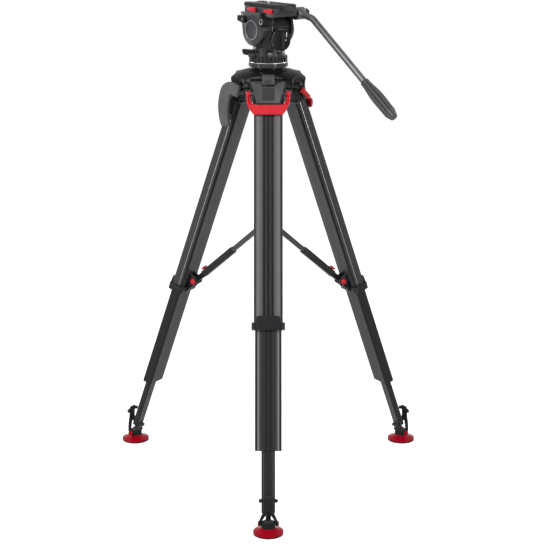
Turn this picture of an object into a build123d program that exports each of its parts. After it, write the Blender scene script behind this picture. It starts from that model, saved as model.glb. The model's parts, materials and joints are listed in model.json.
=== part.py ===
"""Video tripod with a fluid head: three two-stage legs, mid-level spreader, bowl and pan bar.

Millimetres. +Z is up, the front leg points to -Y, and the origin is the middle of the foot box
on the floor. A leg is drawn upright in its own frame, with the hinge at the origin, -Y outward
and +X across, and is then copied to its three places. A foot's frame lies on the floor under its
ankle. The head is drawn in a frame whose origin is the bowl's rim plane on the tripod's axis,
with +Y along the lens and +X to the operator's right.
"""

import os
from math import atan2, cos, degrees, hypot, radians, sin, sqrt

from build123d import *

# Stance
RIM_Z = 967.0
HINGE_DROP = 37.0
HINGE_Z = RIM_Z - HINGE_DROP
HINGE_R = 54.0
SPREAD = 20.0
SIDES = {"front": 0.0, "right": 120.0, "left": -120.0}

# Clearances
FIT = 0.1
TURN_GAP = 0.3
SLIDE_GAP = 0.4

# Leg tubes, each running in the one above it
TUBE_W = 64.0
TUBE_D = 30.0
TUBE_R = 8.0
TUBE_WALL = 2.4
TUBE_TOP = -48.0
TUBE_END = -540.0
MIDDLE_WALL = 1.8
MIDDLE_LEN = 480.0
MIDDLE_END = -810.0
LOWER_W = 30.0
LOWER_D = 14.6
LOWER_R = 4.0
LOWER_WALL = 1.6
LOWER_LEN = 465.0
LOWER_END = -940.0
CHANNEL_W = 25.0
CHANNEL_DEPTH = 1.2
CHANNEL_RIB_W = 5.0
CHANNEL_RIB_X = 5.0
SEAM_W = 1.4
SEAM_DEPTH = 0.8
SEAM_Y = 5.0
END_PLUG = 24.0
END_LIP = 4.0

# Leg head and hinge
PIN_R = 5.0
BARREL_R = 13.0
HEAD_HALF = 39.0
SHIELD_TOP_W = 75.0
SHIELD_END_W = 52.0
SHIELD_TOP = 6.0
SHIELD_END = -45.0
SHIELD_FACE = 20.5
SHIELD_T = 10.0
SHIELD_SCOOP = 7.0
SHIELD_ROUND = 3.0
FLANGE_T = 4.0
CORE_D = 24.0
PLUG_LEN = 40.0
PANEL_W = 27.0
PANEL_H = 29.0
PANEL_Z = -23.5
PANEL_DEPTH = 1.2
CATCH_SLOT_W = 29.0
CATCH_SLOT_DEPTH = 6.0
CATCH_SLOT_END = -7.0

# Brake lever: a bail round the leg head
LEVER_Y = -3.0
LEVER_Z = -20.0
LEVER_PIN_R = 3.0
LEVER_EYE_R = 6.5
LEVER_HALF = 49.0
LEVER_ARM = 9.7
LEVER_END = -70.0
LEVER_BAND = 22.0
LEVER_T = 5.5
LEVER_FACE = 21.5
LEVER_FOOT_W = 64.0
LEVER_SWEEP = 60.0
LEVER_CROTCH_R = 14.0

# Collar at the upper tube's end, with the spreader bracket
COLLAR_W = 74.0
COLLAR_D = 39.0
COLLAR_GRIP = 10.0
COLLAR_LIP = 6.0
TAB_W = 53.0
TAB_H = 30.0
TAB_T = 5.0
BRACKET_GAP = 13.0
BRACKET_T = 6.0
BRACKET_Y = 31.0
BRACKET_RISE = 30.0
BRACKET_Z = TUBE_END + BRACKET_RISE
BRACKET_R = 9.0
BRACKET_FOOT = 40.0
KNOB_R = 6.5
KNOB_T = 5.0
KNOB_PIN_R = 3.0

# Carry handle beside the left leg
HANDLE_W = 29.0
HANDLE_T = 9.0
HANDLE_GAP = 1.5
HANDLE_TOP = 2.0
HANDLE_HEEL = 18.0
HANDLE_ROUND = 26.0
HANDLE_BOW = 28.0
HANDLE_BAR = 12.0
HANDLE_BAR_Y = 4.5
HANDLE_BAR_TOP = -14.5
HANDLE_END = -104.0
HANDLE_TOE = 2.0
HANDLE_TOE_W = 21.0
HANDLE_TOE_RISE = 8.0
HANDLE_FOOT_W = 14.0
HANDLE_FOOT_RISE = 14.0

# Foot: ankle ball in a domed plate with a rubber sole, and a strap
BALL_R = 11.0
ANKLE_Z = 23.0
NECK_R = 6.0
BUFFER_R = 7.0
BUFFER_W = 20.0
PAD_R = 33.0
PAD_RIM = 3.0
PAD_CROWN = 13.0
SOLE_T = 3.0
CUP_R = 15.5
CUP_RISE = 3.0
STRAP_PIN_R = 3.0
STRAP_EYE_R = 6.0
STRAP_ARM = 5.0
STRAP_T = 5.0
STRAP_TOP = 88.0
STRAP_TAB_W = 17.0
STRAP_LEAN = 6.0
STRAP_CAP_T = 2.0

# Spider: domed six-sided casting with the bowl and the hinge cheeks
FLAT_R = 66.0
FLAT_HALF = 54.0
DECK_DROP = 21.0
DECK_UNDER = RIM_Z - DECK_DROP
CORNER_DROP = 25.0
CORNER_Z = RIM_Z - CORNER_DROP
DECK_EDGE_T = 8.0
DECK_EDGE = CORNER_Z - DECK_EDGE_T
DOME_DROP = 12.0
DOME_Z = RIM_Z - DOME_DROP
DOME_TRIM = 2.0
BOWL_LIP_R = 43.0
BOWL_WALL = 8.0
BOWL_DROP = 6.0
BOWL_HOLE_R = 14.0
POCKET_GAP = 0.5
CHEEK_R = 10.5
CATCH_W = 26.5
CATCH_PIVOT_R = 60.0
CATCH_PIVOT_DROP = 16.0
CATCH_PIVOT_Z = RIM_Z - CATCH_PIVOT_DROP
CATCH_PIN_R = 1.9
CATCH_EYE_R = 4.5
CATCH_REACH = 80.0
CATCH_T = 4.5
CATCH_LEN = 15.0
CATCH_END = CATCH_PIVOT_Z - CATCH_LEN
CATCH_PIN_LEN = 5.0
HOLLOW_W = 7.5
HOLLOW_RISE = 6.0
HOLLOW_Z = CATCH_END + HOLLOW_RISE
HOLLOW_DEPTH = 1.5

# Half ball, stud and clamp knob
BALL_SEAT_R = 37.5
BALL_CUT = 31.0
BASE_R = 44.8
BASE_H = 11.0
BASE_EDGE = 1.0
DRAG_H = 13.0
SPIGOT_R = 30.0
STUD_R = 6.0
STUD_END = 70.0
CLAMP_R = 22.0
CLAMP_NECK_R = 19.0
CLAMP_TOP = 52.0
CLAMP_END = 88.0
CLAMP_LOBES = 6
CLAMP_LOBE_R = 7.0

# Spreader
HUB_R = 22.0
HUB_DROP = 376.0
HUB_Z = RIM_Z - HUB_DROP
HUB_CORE_R = 13.0
HUB_H = 24.0
LUG_R = 8.0
LUG_T = 5.0
ARM_PIN_R = 3.0
ARM_W = 12.0
ARM_D = 11.0
ARM_LEN = 168.0
SLEEVE_W = 17.0
SLEEVE_D = 16.0
SLEEVE_START = 96.0
TONGUE_L = 30.0
TONGUE_R = 6.0
SLEEVE_BUTTON_AT = 40.0
BUTTON_W = 11.0
BUTTON_L = 13.0
BUTTON_T = 4.0
BUTTON_STEM_R = 3.0
BUTTON_ROUND = 1.5
SLEEVE_ROUND = 2.0

# Head: pan stage
PAN = 38.0
DRAG_R = 43.3
DRAG_RIBS = 30
DRAG_CUT_R = 1.8
NECK_BASE_R = 39.0
NECK_TOP_R = 34.0
NECK_H = 21.0
TILT_Z = 83.0
DRUM_R = 30.5
DRUM_HALF = 39.5
DIAL_X = 5.0
DIAL_Z = 60.5
DIAL_R = 23.5
DIAL_Y = -38.0
DIAL_T = 7.0
DIAL_RIB_W = 8.0
DIAL_RIB_H = 5.0
DIAL_BOSS_R = 25.0
DIAL_TAPER = 20.0
PAN_BRAKE_Z = 36.0
PAN_BRAKE_LEN = 24.0
LEDGE_ANGLE = -122.0
VIAL_R = 6.0
VIAL_H = 5.0

# Head: tilt stage
CHEEK_DISC_R = 34.0
CHEEK_T = 7.0
CAP_DISC_R = 22.0
CAP_DISC_T = 1.5
TABLE_Z = 115.0
TABLE_H = 18.0
TABLE_W = 66.0
TABLE_FRONT = 48.0
TABLE_REAR = 66.0
TABLE_ROUND = 6.0
PLATE_W = 54.0
PLATE_H = 7.0
PLATE_L = 125.0
PLATE_Y = -6.0
PLATE_ROUND = 4.0
RAIL_W = 34.0
RAIL_H = 6.0
PAD_STRIP_W = 14.0
PAD_STRIP_T = 1.5
PAD_STRIP_IN = 2.0
SCREW_R = 3.2
SCREW_SHANK_R = 2.7
SCREW_HEAD_R = 8.0
SCREW_HEAD_H = 4.0
SCREW_RISE = 3.0
COIN_SLOT_W = 2.0
COIN_SLOT_DEPTH = 1.5
SLOT_L = 60.0
VIDEO_PIN_Y = 40.0
TILT_KNOB_Y = -37.0
TILT_KNOB_Z = 104.0
TILT_KNOB_R = 11.0
TILT_KNOB_X = 50.0
TILT_KNOB_LEN = 24.5
TILT_KNOB_LUG = 6.0
TILT_KNOB_EDGE = 1.5
TILT_KNOB_EYE_R = 4.4
TILT_BRAKE_Y = 24.0
TILT_BRAKE_Z = 106.0
TILT_BRAKE_LEN = 18.0
LOCK_Y = 1.0
LOCK_Z = 127.6
LOCK_L = 26.0
LOCK_W = 9.0
LOCK_H = 8.0
LOCK_TALL = 10.5
LOCK_TIP = 5.0
RELEASE_Y = -57.0

# Pan bar
BAR_OUT = 13.0
BAR_X = TABLE_W / 2 + BAR_OUT
BAR_Y = -54.0
BAR_Z = 119.0
BAR_R = 7.5
BAR_EYE_LIP = 1.5
BAR_NOSE = 46.0
BAR_NOSE_DROP = 10.0
BAR_DROP = 34.5
BAR_RUN = 330.0
BAR_BEND_R = 30.0
GRIP_L = 115.0
GRIP_R = 13.2
GRIP_NECK_R = 9.8
GRIP_SHOULDER = 38.0
GRIP_CAP = 5.0
GRIP_FLUTES = 9
FLUTE_R = 3.0
FLUTE_OUT = 1.4
ROSETTE_R = 14.0
ROSETTE_T = 5.0
CLAMP_SCREW_R = 10.0
CLAMP_SCREW_T = 12.0
CLAMP_FLUTES = 6
CLAMP_FLUTE_R = 3.2
CLAMP_FLUTE_OUT = 2.0
CLAMP_PIN_R = 4.0


def place_leg(angle):
    """Location of a leg's own frame, for a leg at this angle about the axis."""
    turn = Location((0, AXIS_Y, 0), (0, 0, angle))
    return turn * Location((0, -HINGE_R, HINGE_Z), (-SPREAD, 0, 0))


def place_foot(angle):
    """Location of a foot's frame: on the floor under the ankle, with -Y outward."""
    return Location((0, AXIS_Y, 0), (0, 0, angle)) * Location((0, -FOOT_CIRCLE, 0))


def write(part, name, place=Location()):
    """Label a finished piece, put it in its place and write it."""
    piece = part.moved(place)
    piece.label = name
    export_step(piece, f"parts/{name}.step")


def write_legs(part, name, place=place_leg):
    """Write the same piece for all three legs."""
    for side, angle in SIDES.items():
        write(part, f"{name}_{side}", place(angle))


os.makedirs("parts", exist_ok=True)

# The ball lies on the lower tube's centre line, and its height sets the foot circle.
BORE_W = TUBE_W - 2 * TUBE_WALL
BORE_D = TUBE_D - 2 * TUBE_WALL
BORE_R = TUBE_R - TUBE_WALL
MIDDLE_W = BORE_W - 2 * SLIDE_GAP
MIDDLE_D = BORE_D - 2 * SLIDE_GAP
MIDDLE_R = BORE_R - SLIDE_GAP
MIDDLE_BORE_W = MIDDLE_W - 2 * MIDDLE_WALL
MIDDLE_BORE_D = MIDDLE_D - 2 * MIDDLE_WALL
MIDDLE_BORE_R = MIDDLE_R - MIDDLE_WALL
LOWER_Y = LOWER_D / 2 + SLIDE_GAP - MIDDLE_BORE_D / 2
TILT = radians(SPREAD)
BALL_Z = -(HINGE_Z - ANKLE_Z - LOWER_Y * sin(TILT)) / cos(TILT)
FOOT_CIRCLE = HINGE_R - LOWER_Y * cos(TILT) - BALL_Z * sin(TILT)
AXIS_Y = FOOT_CIRCLE / 4

# Upper tube: channelled outer face, a seam down each side, open bore
with BuildPart() as upper_tube:
    with BuildSketch(Plane.XY.offset(TUBE_TOP)):
        RectangleRounded(TUBE_W, TUBE_D, TUBE_R)
        with Locations((0, -TUBE_D / 2)):
            Rectangle(CHANNEL_W, 2 * CHANNEL_DEPTH, mode=Mode.SUBTRACT)
        with Locations((-CHANNEL_RIB_X, -TUBE_D / 2), (CHANNEL_RIB_X, -TUBE_D / 2)):
            Rectangle(CHANNEL_RIB_W, 2 * CHANNEL_DEPTH, align=(Align.CENTER, Align.MIN))
        with Locations((-TUBE_W / 2, SEAM_Y), (TUBE_W / 2, SEAM_Y)):
            Rectangle(2 * SEAM_DEPTH, SEAM_W, mode=Mode.SUBTRACT)
        RectangleRounded(BORE_W, BORE_D, BORE_R, mode=Mode.SUBTRACT)
    extrude(amount=TUBE_END - TUBE_TOP)
write_legs(upper_tube.part, "upper_tube")

# Leg head: hinge barrel, tapered cover with a scooped rim, brake pivots and a plug for the tube
LEVER_INNER = LEVER_HALF - LEVER_ARM
with BuildPart() as leg_head:
    with BuildSketch(Plane.XZ.offset(SHIELD_FACE)):
        with BuildLine():
            Polyline(
                (-SHIELD_TOP_W / 2, SHIELD_TOP),
                (-SHIELD_END_W / 2, SHIELD_END),
                (SHIELD_END_W / 2, SHIELD_END),
                (SHIELD_TOP_W / 2, SHIELD_TOP),
            )
            ThreePointArc(
                (SHIELD_TOP_W / 2, SHIELD_TOP),
                (0, SHIELD_TOP - SHIELD_SCOOP),
                (-SHIELD_TOP_W / 2, SHIELD_TOP),
            )
        make_face()
    extrude(amount=-SHIELD_T)
    fillet(leg_head.faces().sort_by(Axis.Y)[0].edges(), SHIELD_ROUND)
    with BuildSketch(Plane.YZ):
        Circle(BARREL_R)
    extrude(amount=HEAD_HALF, both=True)
    with BuildSketch(Plane.XY.offset(TUBE_TOP)):
        RectangleRounded(TUBE_W, TUBE_D, TUBE_R)
    extrude(amount=FLANGE_T)
    with BuildSketch(Plane.XY.offset(TUBE_TOP)):
        Rectangle(SHIELD_END_W, CORE_D)
    extrude(amount=-TUBE_TOP)
    with BuildSketch(Plane.XY.offset(TUBE_TOP)):
        RectangleRounded(BORE_W - 2 * FIT, BORE_D - 2 * FIT, BORE_R)
    extrude(amount=-PLUG_LEN)
    with BuildSketch(Plane.YZ):
        with Locations((LEVER_Y, LEVER_Z)):
            Circle(LEVER_EYE_R)
    extrude(amount=LEVER_INNER - FIT, both=True)
    with BuildSketch(Plane.YZ):
        with Locations((LEVER_Y, LEVER_Z)):
            Circle(LEVER_PIN_R)
    extrude(amount=LEVER_HALF, both=True)
    with BuildSketch(Plane.XZ.offset(SHIELD_FACE)):
        with Locations((0, PANEL_Z)):
            RectangleRounded(PANEL_W, PANEL_H, SHIELD_ROUND)
    extrude(amount=-PANEL_DEPTH, mode=Mode.SUBTRACT)
    with BuildSketch(Plane.XZ.offset(SHIELD_FACE)):
        with Locations((0, CATCH_SLOT_END)):
            Rectangle(CATCH_SLOT_W, BARREL_R - CATCH_SLOT_END, align=(Align.CENTER, Align.MIN))
    extrude(amount=-CATCH_SLOT_DEPTH, mode=Mode.SUBTRACT)
    with BuildSketch(Plane.YZ):
        Circle(PIN_R + FIT)
    extrude(amount=HEAD_HALF, both=True, mode=Mode.SUBTRACT)
write_legs(leg_head.part, "leg_head")

# Brake lever: a curved blade in side view, cut to a bail in front view
LEVER_BACK = LEVER_FACE - LEVER_T
LEVER_BEND = LEVER_END + LEVER_BAND
LEVER_SHOULDER = LEVER_Z - LEVER_EYE_R
with BuildPart() as brake_lever:
    with BuildSketch(Plane.YZ):
        with BuildLine():
            outer = RadiusArc(
                (LEVER_Y, LEVER_Z + LEVER_EYE_R),
                (-LEVER_FACE, LEVER_BEND),
                LEVER_SWEEP,
            )
            Polyline(
                outer @ 1,
                (-LEVER_FACE, LEVER_END),
                (-LEVER_BACK, LEVER_END),
                (-LEVER_BACK, LEVER_BEND),
            )
            inner = RadiusArc(
                (-LEVER_BACK, LEVER_BEND),
                (LEVER_Y, LEVER_Z - LEVER_EYE_R),
                -LEVER_SWEEP,
            )
            Line(inner @ 1, outer @ 0)
        make_face()
        with Locations((LEVER_Y, LEVER_Z)):
            Circle(LEVER_EYE_R)
    extrude(amount=LEVER_HALF, both=True)
    with BuildSketch(Plane.XZ.offset(2 * LEVER_FACE)):
        with BuildLine():
            RadiusArc((-LEVER_HALF, LEVER_SHOULDER), (-LEVER_FOOT_W / 2, LEVER_END), -LEVER_SWEEP)
            Line((-LEVER_FOOT_W / 2, LEVER_END), (LEVER_FOOT_W / 2, LEVER_END))
            RadiusArc((LEVER_FOOT_W / 2, LEVER_END), (LEVER_HALF, LEVER_SHOULDER), -LEVER_SWEEP)
            Polyline(
                (LEVER_HALF, LEVER_SHOULDER),
                (LEVER_HALF, 0),
                (-LEVER_HALF, 0),
                (-LEVER_HALF, LEVER_SHOULDER),
            )
        make_face()
        with BuildLine():
            FilletPolyline(
                (-LEVER_INNER, 0),
                (-LEVER_INNER, LEVER_BEND),
                (LEVER_INNER, LEVER_BEND),
                (LEVER_INNER, 0),
                radius=LEVER_CROTCH_R,
            )
            Line((LEVER_INNER, 0), (-LEVER_INNER, 0))
        make_face(mode=Mode.SUBTRACT)
    extrude(amount=-4 * LEVER_FACE, mode=Mode.INTERSECT)
    with BuildSketch(Plane.YZ):
        with Locations((LEVER_Y, LEVER_Z)):
            Circle(LEVER_PIN_R + TURN_GAP)
    extrude(amount=2 * LEVER_HALF, both=True, mode=Mode.SUBTRACT)
write_legs(brake_lever.part, "brake_lever")

# Collar: a sleeve under the upper tube's end, with a front tab and the spreader's bracket behind
COLLAR_TOP = TUBE_END + COLLAR_GRIP
COLLAR_END = TUBE_END - COLLAR_LIP
BRACKET_HALF = BRACKET_GAP / 2 + BRACKET_T
with BuildPart() as leg_collar:
    with BuildSketch(Plane.XY.offset(COLLAR_END)):
        RectangleRounded(COLLAR_W, COLLAR_D, TUBE_R)
    extrude(amount=COLLAR_TOP - COLLAR_END)
    with BuildSketch(Plane.XZ.offset(TUBE_D / 2)):
        with Locations((0, COLLAR_END)):
            RectangleRounded(TAB_W, TAB_H, TAB_T, align=(Align.CENTER, Align.MIN))
    extrude(amount=TAB_T)
    with BuildSketch(Plane.YZ):
        with BuildLine():
            Polyline(
                (TUBE_D / 2, COLLAR_END),
                (COLLAR_D / 2, COLLAR_END),
                (BRACKET_Y + BRACKET_R, BRACKET_Z),
                (BRACKET_Y, BRACKET_Z + BRACKET_R),
                (TUBE_D / 2, COLLAR_END + BRACKET_FOOT + BRACKET_R),
                close=True,
            )
        make_face()
        with Locations((BRACKET_Y, BRACKET_Z)):
            Circle(BRACKET_R)
    extrude(amount=BRACKET_HALF, both=True)
    with BuildSketch(Plane.YZ):
        with Locations((TUBE_D / 2, COLLAR_TOP)):
            Rectangle(4 * BRACKET_R, 2 * BRACKET_FOOT, align=(Align.MIN, Align.MIN))
        with Locations((COLLAR_D / 2, COLLAR_END)):
            Rectangle(4 * BRACKET_R, 2 * BRACKET_FOOT, align=(Align.MIN, Align.MIN))
    extrude(amount=BRACKET_GAP / 2, both=True, mode=Mode.SUBTRACT)
    with BuildSketch(Plane.YZ):
        with Locations((BRACKET_Y, BRACKET_Z)):
            Circle(KNOB_PIN_R + TURN_GAP)
    extrude(amount=BRACKET_HALF, both=True, mode=Mode.SUBTRACT)
    with BuildSketch(Plane.XY.offset(TUBE_END)):
        RectangleRounded(TUBE_W + 2 * FIT, TUBE_D + 2 * FIT, TUBE_R + FIT)
    extrude(amount=TUBE_END - COLLAR_END + TAB_H + BRACKET_FOOT, mode=Mode.SUBTRACT)
    with BuildSketch(Plane.XY.offset(COLLAR_END)):
        RectangleRounded(BORE_W, BORE_D, BORE_R)
    extrude(amount=COLLAR_LIP, mode=Mode.SUBTRACT)
write_legs(leg_collar.part, "leg_collar")

# Release knob: a button in the bracket's cheek, on the side that faces the front
for side, angle in SIDES.items():
    hand = -1 if side == "right" else 1
    with BuildPart() as release_knob:
        with BuildSketch(Plane.YZ.offset(hand * (BRACKET_HALF + TURN_GAP))):
            with Locations((BRACKET_Y, BRACKET_Z)):
                Circle(KNOB_R)
        extrude(amount=hand * KNOB_T)
        with BuildSketch(Plane.YZ.offset(hand * (BRACKET_GAP / 2 + TURN_GAP))):
            with Locations((BRACKET_Y, BRACKET_Z)):
                Circle(KNOB_PIN_R)
        extrude(amount=hand * (BRACKET_T + KNOB_T))
    write(release_knob.part, f"release_knob_{side}", place_leg(angle))

# Middle tube, and the fitting in its end that guides the lower tube
with BuildPart() as middle_shell:
    with BuildSketch(Plane.XY.offset(MIDDLE_END + END_LIP)):
        RectangleRounded(MIDDLE_W, MIDDLE_D, MIDDLE_R)
        RectangleRounded(MIDDLE_BORE_W, MIDDLE_BORE_D, MIDDLE_BORE_R, mode=Mode.SUBTRACT)
        with Locations((-CHANNEL_RIB_X, -MIDDLE_D / 2), (CHANNEL_RIB_X, -MIDDLE_D / 2)):
            Rectangle(SEAM_W, 2 * SEAM_DEPTH, mode=Mode.SUBTRACT)
    extrude(amount=MIDDLE_LEN - END_LIP)
with BuildPart() as middle_fitting:
    with BuildSketch(Plane.XY.offset(MIDDLE_END)):
        RectangleRounded(MIDDLE_W, MIDDLE_D, MIDDLE_R)
    extrude(amount=END_LIP)
    with BuildSketch(Plane.XY.offset(MIDDLE_END + END_LIP)):
        RectangleRounded(MIDDLE_BORE_W - 2 * FIT, MIDDLE_BORE_D - 2 * FIT, MIDDLE_BORE_R)
    extrude(amount=END_PLUG)
    with BuildSketch(Plane.XY.offset(MIDDLE_END)):
        with Locations((0, LOWER_Y)):
            RectangleRounded(LOWER_W + 2 * SLIDE_GAP, LOWER_D + 2 * SLIDE_GAP, LOWER_R + SLIDE_GAP)
    extrude(amount=END_LIP + END_PLUG, mode=Mode.SUBTRACT)
write_legs(Compound(children=[middle_shell.part, middle_fitting.part]), "middle_tube")

# Lower tube, and the ankle plugged into its end: neck, ball and the round buffer behind them
with BuildPart() as lower_shell:
    with BuildSketch(Plane.XY.offset(LOWER_END)):
        with Locations((0, LOWER_Y)):
            RectangleRounded(LOWER_W, LOWER_D, LOWER_R)
            RectangleRounded(
                LOWER_W - 2 * LOWER_WALL,
                LOWER_D - 2 * LOWER_WALL,
                LOWER_R - LOWER_WALL,
                mode=Mode.SUBTRACT,
            )
    extrude(amount=LOWER_LEN)
with BuildPart() as ankle:
    with BuildSketch(Plane.XY.offset(LOWER_END)):
        with Locations((0, LOWER_Y)):
            RectangleRounded(LOWER_W, LOWER_D, LOWER_R)
    extrude(amount=-END_LIP)
    with BuildSketch(Plane.XY.offset(LOWER_END)):
        with Locations((0, LOWER_Y)):
            Rectangle(LOWER_W - 2 * LOWER_R, LOWER_D - 2 * LOWER_WALL - 2 * FIT)
    extrude(amount=END_PLUG)
    with BuildSketch(Plane.XY.offset(BALL_Z)):
        with Locations((0, LOWER_Y)):
            Circle(NECK_R)
    extrude(amount=LOWER_END - BALL_Z)
    with Locations((0, LOWER_Y, BALL_Z)):
        Sphere(BALL_R)
    with BuildSketch(Plane.YZ):
        with Locations((LOWER_Y + LOWER_D / 2, LOWER_END - END_LIP)):
            Circle(BUFFER_R)
    extrude(amount=BUFFER_W / 2, both=True)
    with BuildSketch(Plane.XY.offset(LOWER_END)):
        with Locations((0, LOWER_Y + LOWER_D / 2)):
            Rectangle(LOWER_W, 2 * BUFFER_R, align=(Align.CENTER, Align.MIN))
        with Locations((0, LOWER_Y)):
            Rectangle(LOWER_W, LOWER_D)
    extrude(amount=BUFFER_R, mode=Mode.SUBTRACT)
    with BuildSketch(Plane.XY.offset(LOWER_END)):
        with Locations((0, LOWER_Y)):
            Rectangle(LOWER_W - 2 * LOWER_R, LOWER_D - 2 * LOWER_WALL - 2 * FIT)
    extrude(amount=END_PLUG)
write_legs(Compound(children=[lower_shell.part, ankle.part]), "lower_tube")

# Foot plate: a dome with the ball's cup and the strap's pins, on a rubber sole
STRAP_X = CUP_R + TURN_GAP
CAP_X = STRAP_X + STRAP_ARM + TURN_GAP
with BuildPart() as sole:
    Cylinder(PAD_R, SOLE_T, align=(Align.CENTER, Align.CENTER, Align.MIN))
with BuildPart() as foot_plate:
    with BuildSketch(Plane.XZ):
        with BuildLine():
            Polyline((0, PAD_CROWN), (0, SOLE_T), (PAD_R, SOLE_T), (PAD_R, SOLE_T + PAD_RIM))
            RadiusArc((PAD_R, SOLE_T + PAD_RIM), (CUP_R, PAD_CROWN), 2 * PAD_R)
            Line((CUP_R, PAD_CROWN), (0, PAD_CROWN))
        make_face()
    revolve(axis=Axis.Z)
    with BuildSketch(Plane.XY.offset(SOLE_T)):
        Circle(CUP_R)
    extrude(amount=ANKLE_Z + CUP_RISE - SOLE_T)
    with BuildSketch(Plane.YZ):
        with Locations((0, ANKLE_Z)):
            Circle(STRAP_PIN_R)
    extrude(amount=CAP_X, both=True)
    for x in (-CAP_X - STRAP_CAP_T, CAP_X):
        with BuildSketch(Plane.YZ.offset(x)):
            with Locations((0, ANKLE_Z)):
                Circle(STRAP_EYE_R)
        extrude(amount=STRAP_CAP_T)
    with Locations((0, 0, ANKLE_Z)):
        Sphere(BALL_R + TURN_GAP, mode=Mode.SUBTRACT)
write_legs(Compound(children=[sole.part, foot_plate.part]), "foot_pad", place_foot)

# Foot strap: two eyes on the plate's pins, joined to a pull tab above the toe
STRAP_BEND = ANKLE_Z + STRAP_EYE_R
STRAP_YOKE = (ANKLE_Z + STRAP_TOP) / 2
with BuildPart() as foot_strap:
    with BuildSketch(Plane.YZ):
        with Locations((0, ANKLE_Z)):
            Circle(STRAP_EYE_R)
        with BuildLine():
            face = ThreePointArc(
                (-STRAP_EYE_R, ANKLE_Z),
                (-STRAP_EYE_R - STRAP_LEAN, STRAP_YOKE),
                (-STRAP_EYE_R - STRAP_LEAN / 2, STRAP_TOP),
            )
            Line(face @ 1, face @ 1 + Vector(STRAP_T, 0))
            back = ThreePointArc(
                face @ 1 + Vector(STRAP_T, 0),
                (-STRAP_EYE_R - STRAP_LEAN + STRAP_T, STRAP_YOKE),
                (0, ANKLE_Z),
            )
            Line(back @ 1, face @ 0)
        make_face()
    extrude(amount=STRAP_X + STRAP_ARM, both=True)
    with BuildSketch(Plane.XZ.offset(PAD_R)):
        with BuildLine():
            Polyline(
                (-STRAP_X - STRAP_ARM, 0),
                (-STRAP_X - STRAP_ARM, STRAP_BEND),
                (-STRAP_TAB_W / 2, STRAP_YOKE + STRAP_EYE_R),
                (-STRAP_TAB_W / 2, STRAP_TOP),
                (STRAP_TAB_W / 2, STRAP_TOP),
                (STRAP_TAB_W / 2, STRAP_YOKE + STRAP_EYE_R),
                (STRAP_X + STRAP_ARM, STRAP_BEND),
                (STRAP_X + STRAP_ARM, 0),
                close=True,
            )
        make_face()
        with BuildLine():
            Polyline(
                (-STRAP_X, 0),
                (-STRAP_X, STRAP_BEND),
                (0, STRAP_YOKE),
                (STRAP_X, STRAP_BEND),
                (STRAP_X, 0),
                close=True,
            )
        make_face(mode=Mode.SUBTRACT)
    extrude(amount=-2 * PAD_R, mode=Mode.INTERSECT)
    with BuildSketch(Plane.YZ):
        with Locations((0, ANKLE_Z)):
            Circle(STRAP_PIN_R + TURN_GAP)
    extrude(amount=PAD_R, both=True, mode=Mode.SUBTRACT)
write_legs(foot_strap.part, "foot_strap", place_foot)

# Carry handle: a bowed grip beside the leg, on a bar from the leg head and a foot on the tube
HANDLE_IN = FLAT_HALF + HANDLE_GAP
HANDLE_BAR_END = HANDLE_BAR_TOP - HANDLE_BAR
with BuildPart() as carry_handle:
    with BuildSketch(Plane.YZ.offset(HANDLE_IN)):
        with BuildLine():
            RadiusArc(
                (-HANDLE_BOW, HANDLE_TOP - HANDLE_ROUND),
                (HANDLE_ROUND - HANDLE_BOW, HANDLE_TOP),
                HANDLE_ROUND,
            )
            Polyline(
                (HANDLE_ROUND - HANDLE_BOW, HANDLE_TOP),
                (HANDLE_HEEL, HANDLE_TOP),
                (HANDLE_HEEL, HANDLE_BAR_END),
                (HANDLE_W - HANDLE_BOW, HANDLE_BAR_END),
            )
            TangentArc(
                (HANDLE_W - HANDLE_BOW, HANDLE_BAR_END),
                (HANDLE_TOE + HANDLE_TOE_W, HANDLE_END + HANDLE_TOE_RISE),
                tangent=(0, -1),
            )
            Line((HANDLE_TOE + HANDLE_TOE_W, HANDLE_END + HANDLE_TOE_RISE), (HANDLE_TOE, HANDLE_END))
            TangentArc(
                (-HANDLE_BOW, HANDLE_TOP - HANDLE_ROUND),
                (HANDLE_TOE, HANDLE_END),
                tangent=(0, -1),
            )
        make_face()
    extrude(amount=HANDLE_T)
    fillet(carry_handle.faces().sort_by(Axis.X)[-1].edges(), HANDLE_T / 3)
    with BuildSketch(Plane.YZ.offset(SHIELD_END_W / 2)):
        with Locations((HANDLE_BAR_Y, HANDLE_BAR_TOP)):
            Rectangle(CORE_D / 2 - HANDLE_BAR_Y, HANDLE_BAR, align=(Align.MIN, Align.MAX))
    extrude(amount=HANDLE_IN - SHIELD_END_W / 2)
    with BuildSketch(Plane.YZ.offset(TUBE_W / 2)):
        with Locations((0, HANDLE_END + HANDLE_FOOT_RISE)):
            Rectangle(HANDLE_FOOT_W, HANDLE_BAR, align=(Align.CENTER, Align.MIN))
    extrude(amount=HANDLE_IN - TUBE_W / 2)
write(carry_handle.part, "carry_handle", place_leg(SIDES["left"]))



def leg_plane(angle):
    """Upright plane through the axis and a leg: local X runs outward, local Y is up."""
    heading = radians(angle)
    outward = (sin(heading), -cos(heading), 0)
    return Plane(origin=(0, 0, 0), x_dir=outward, z_dir=(-cos(heading), -sin(heading), 0))


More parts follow.
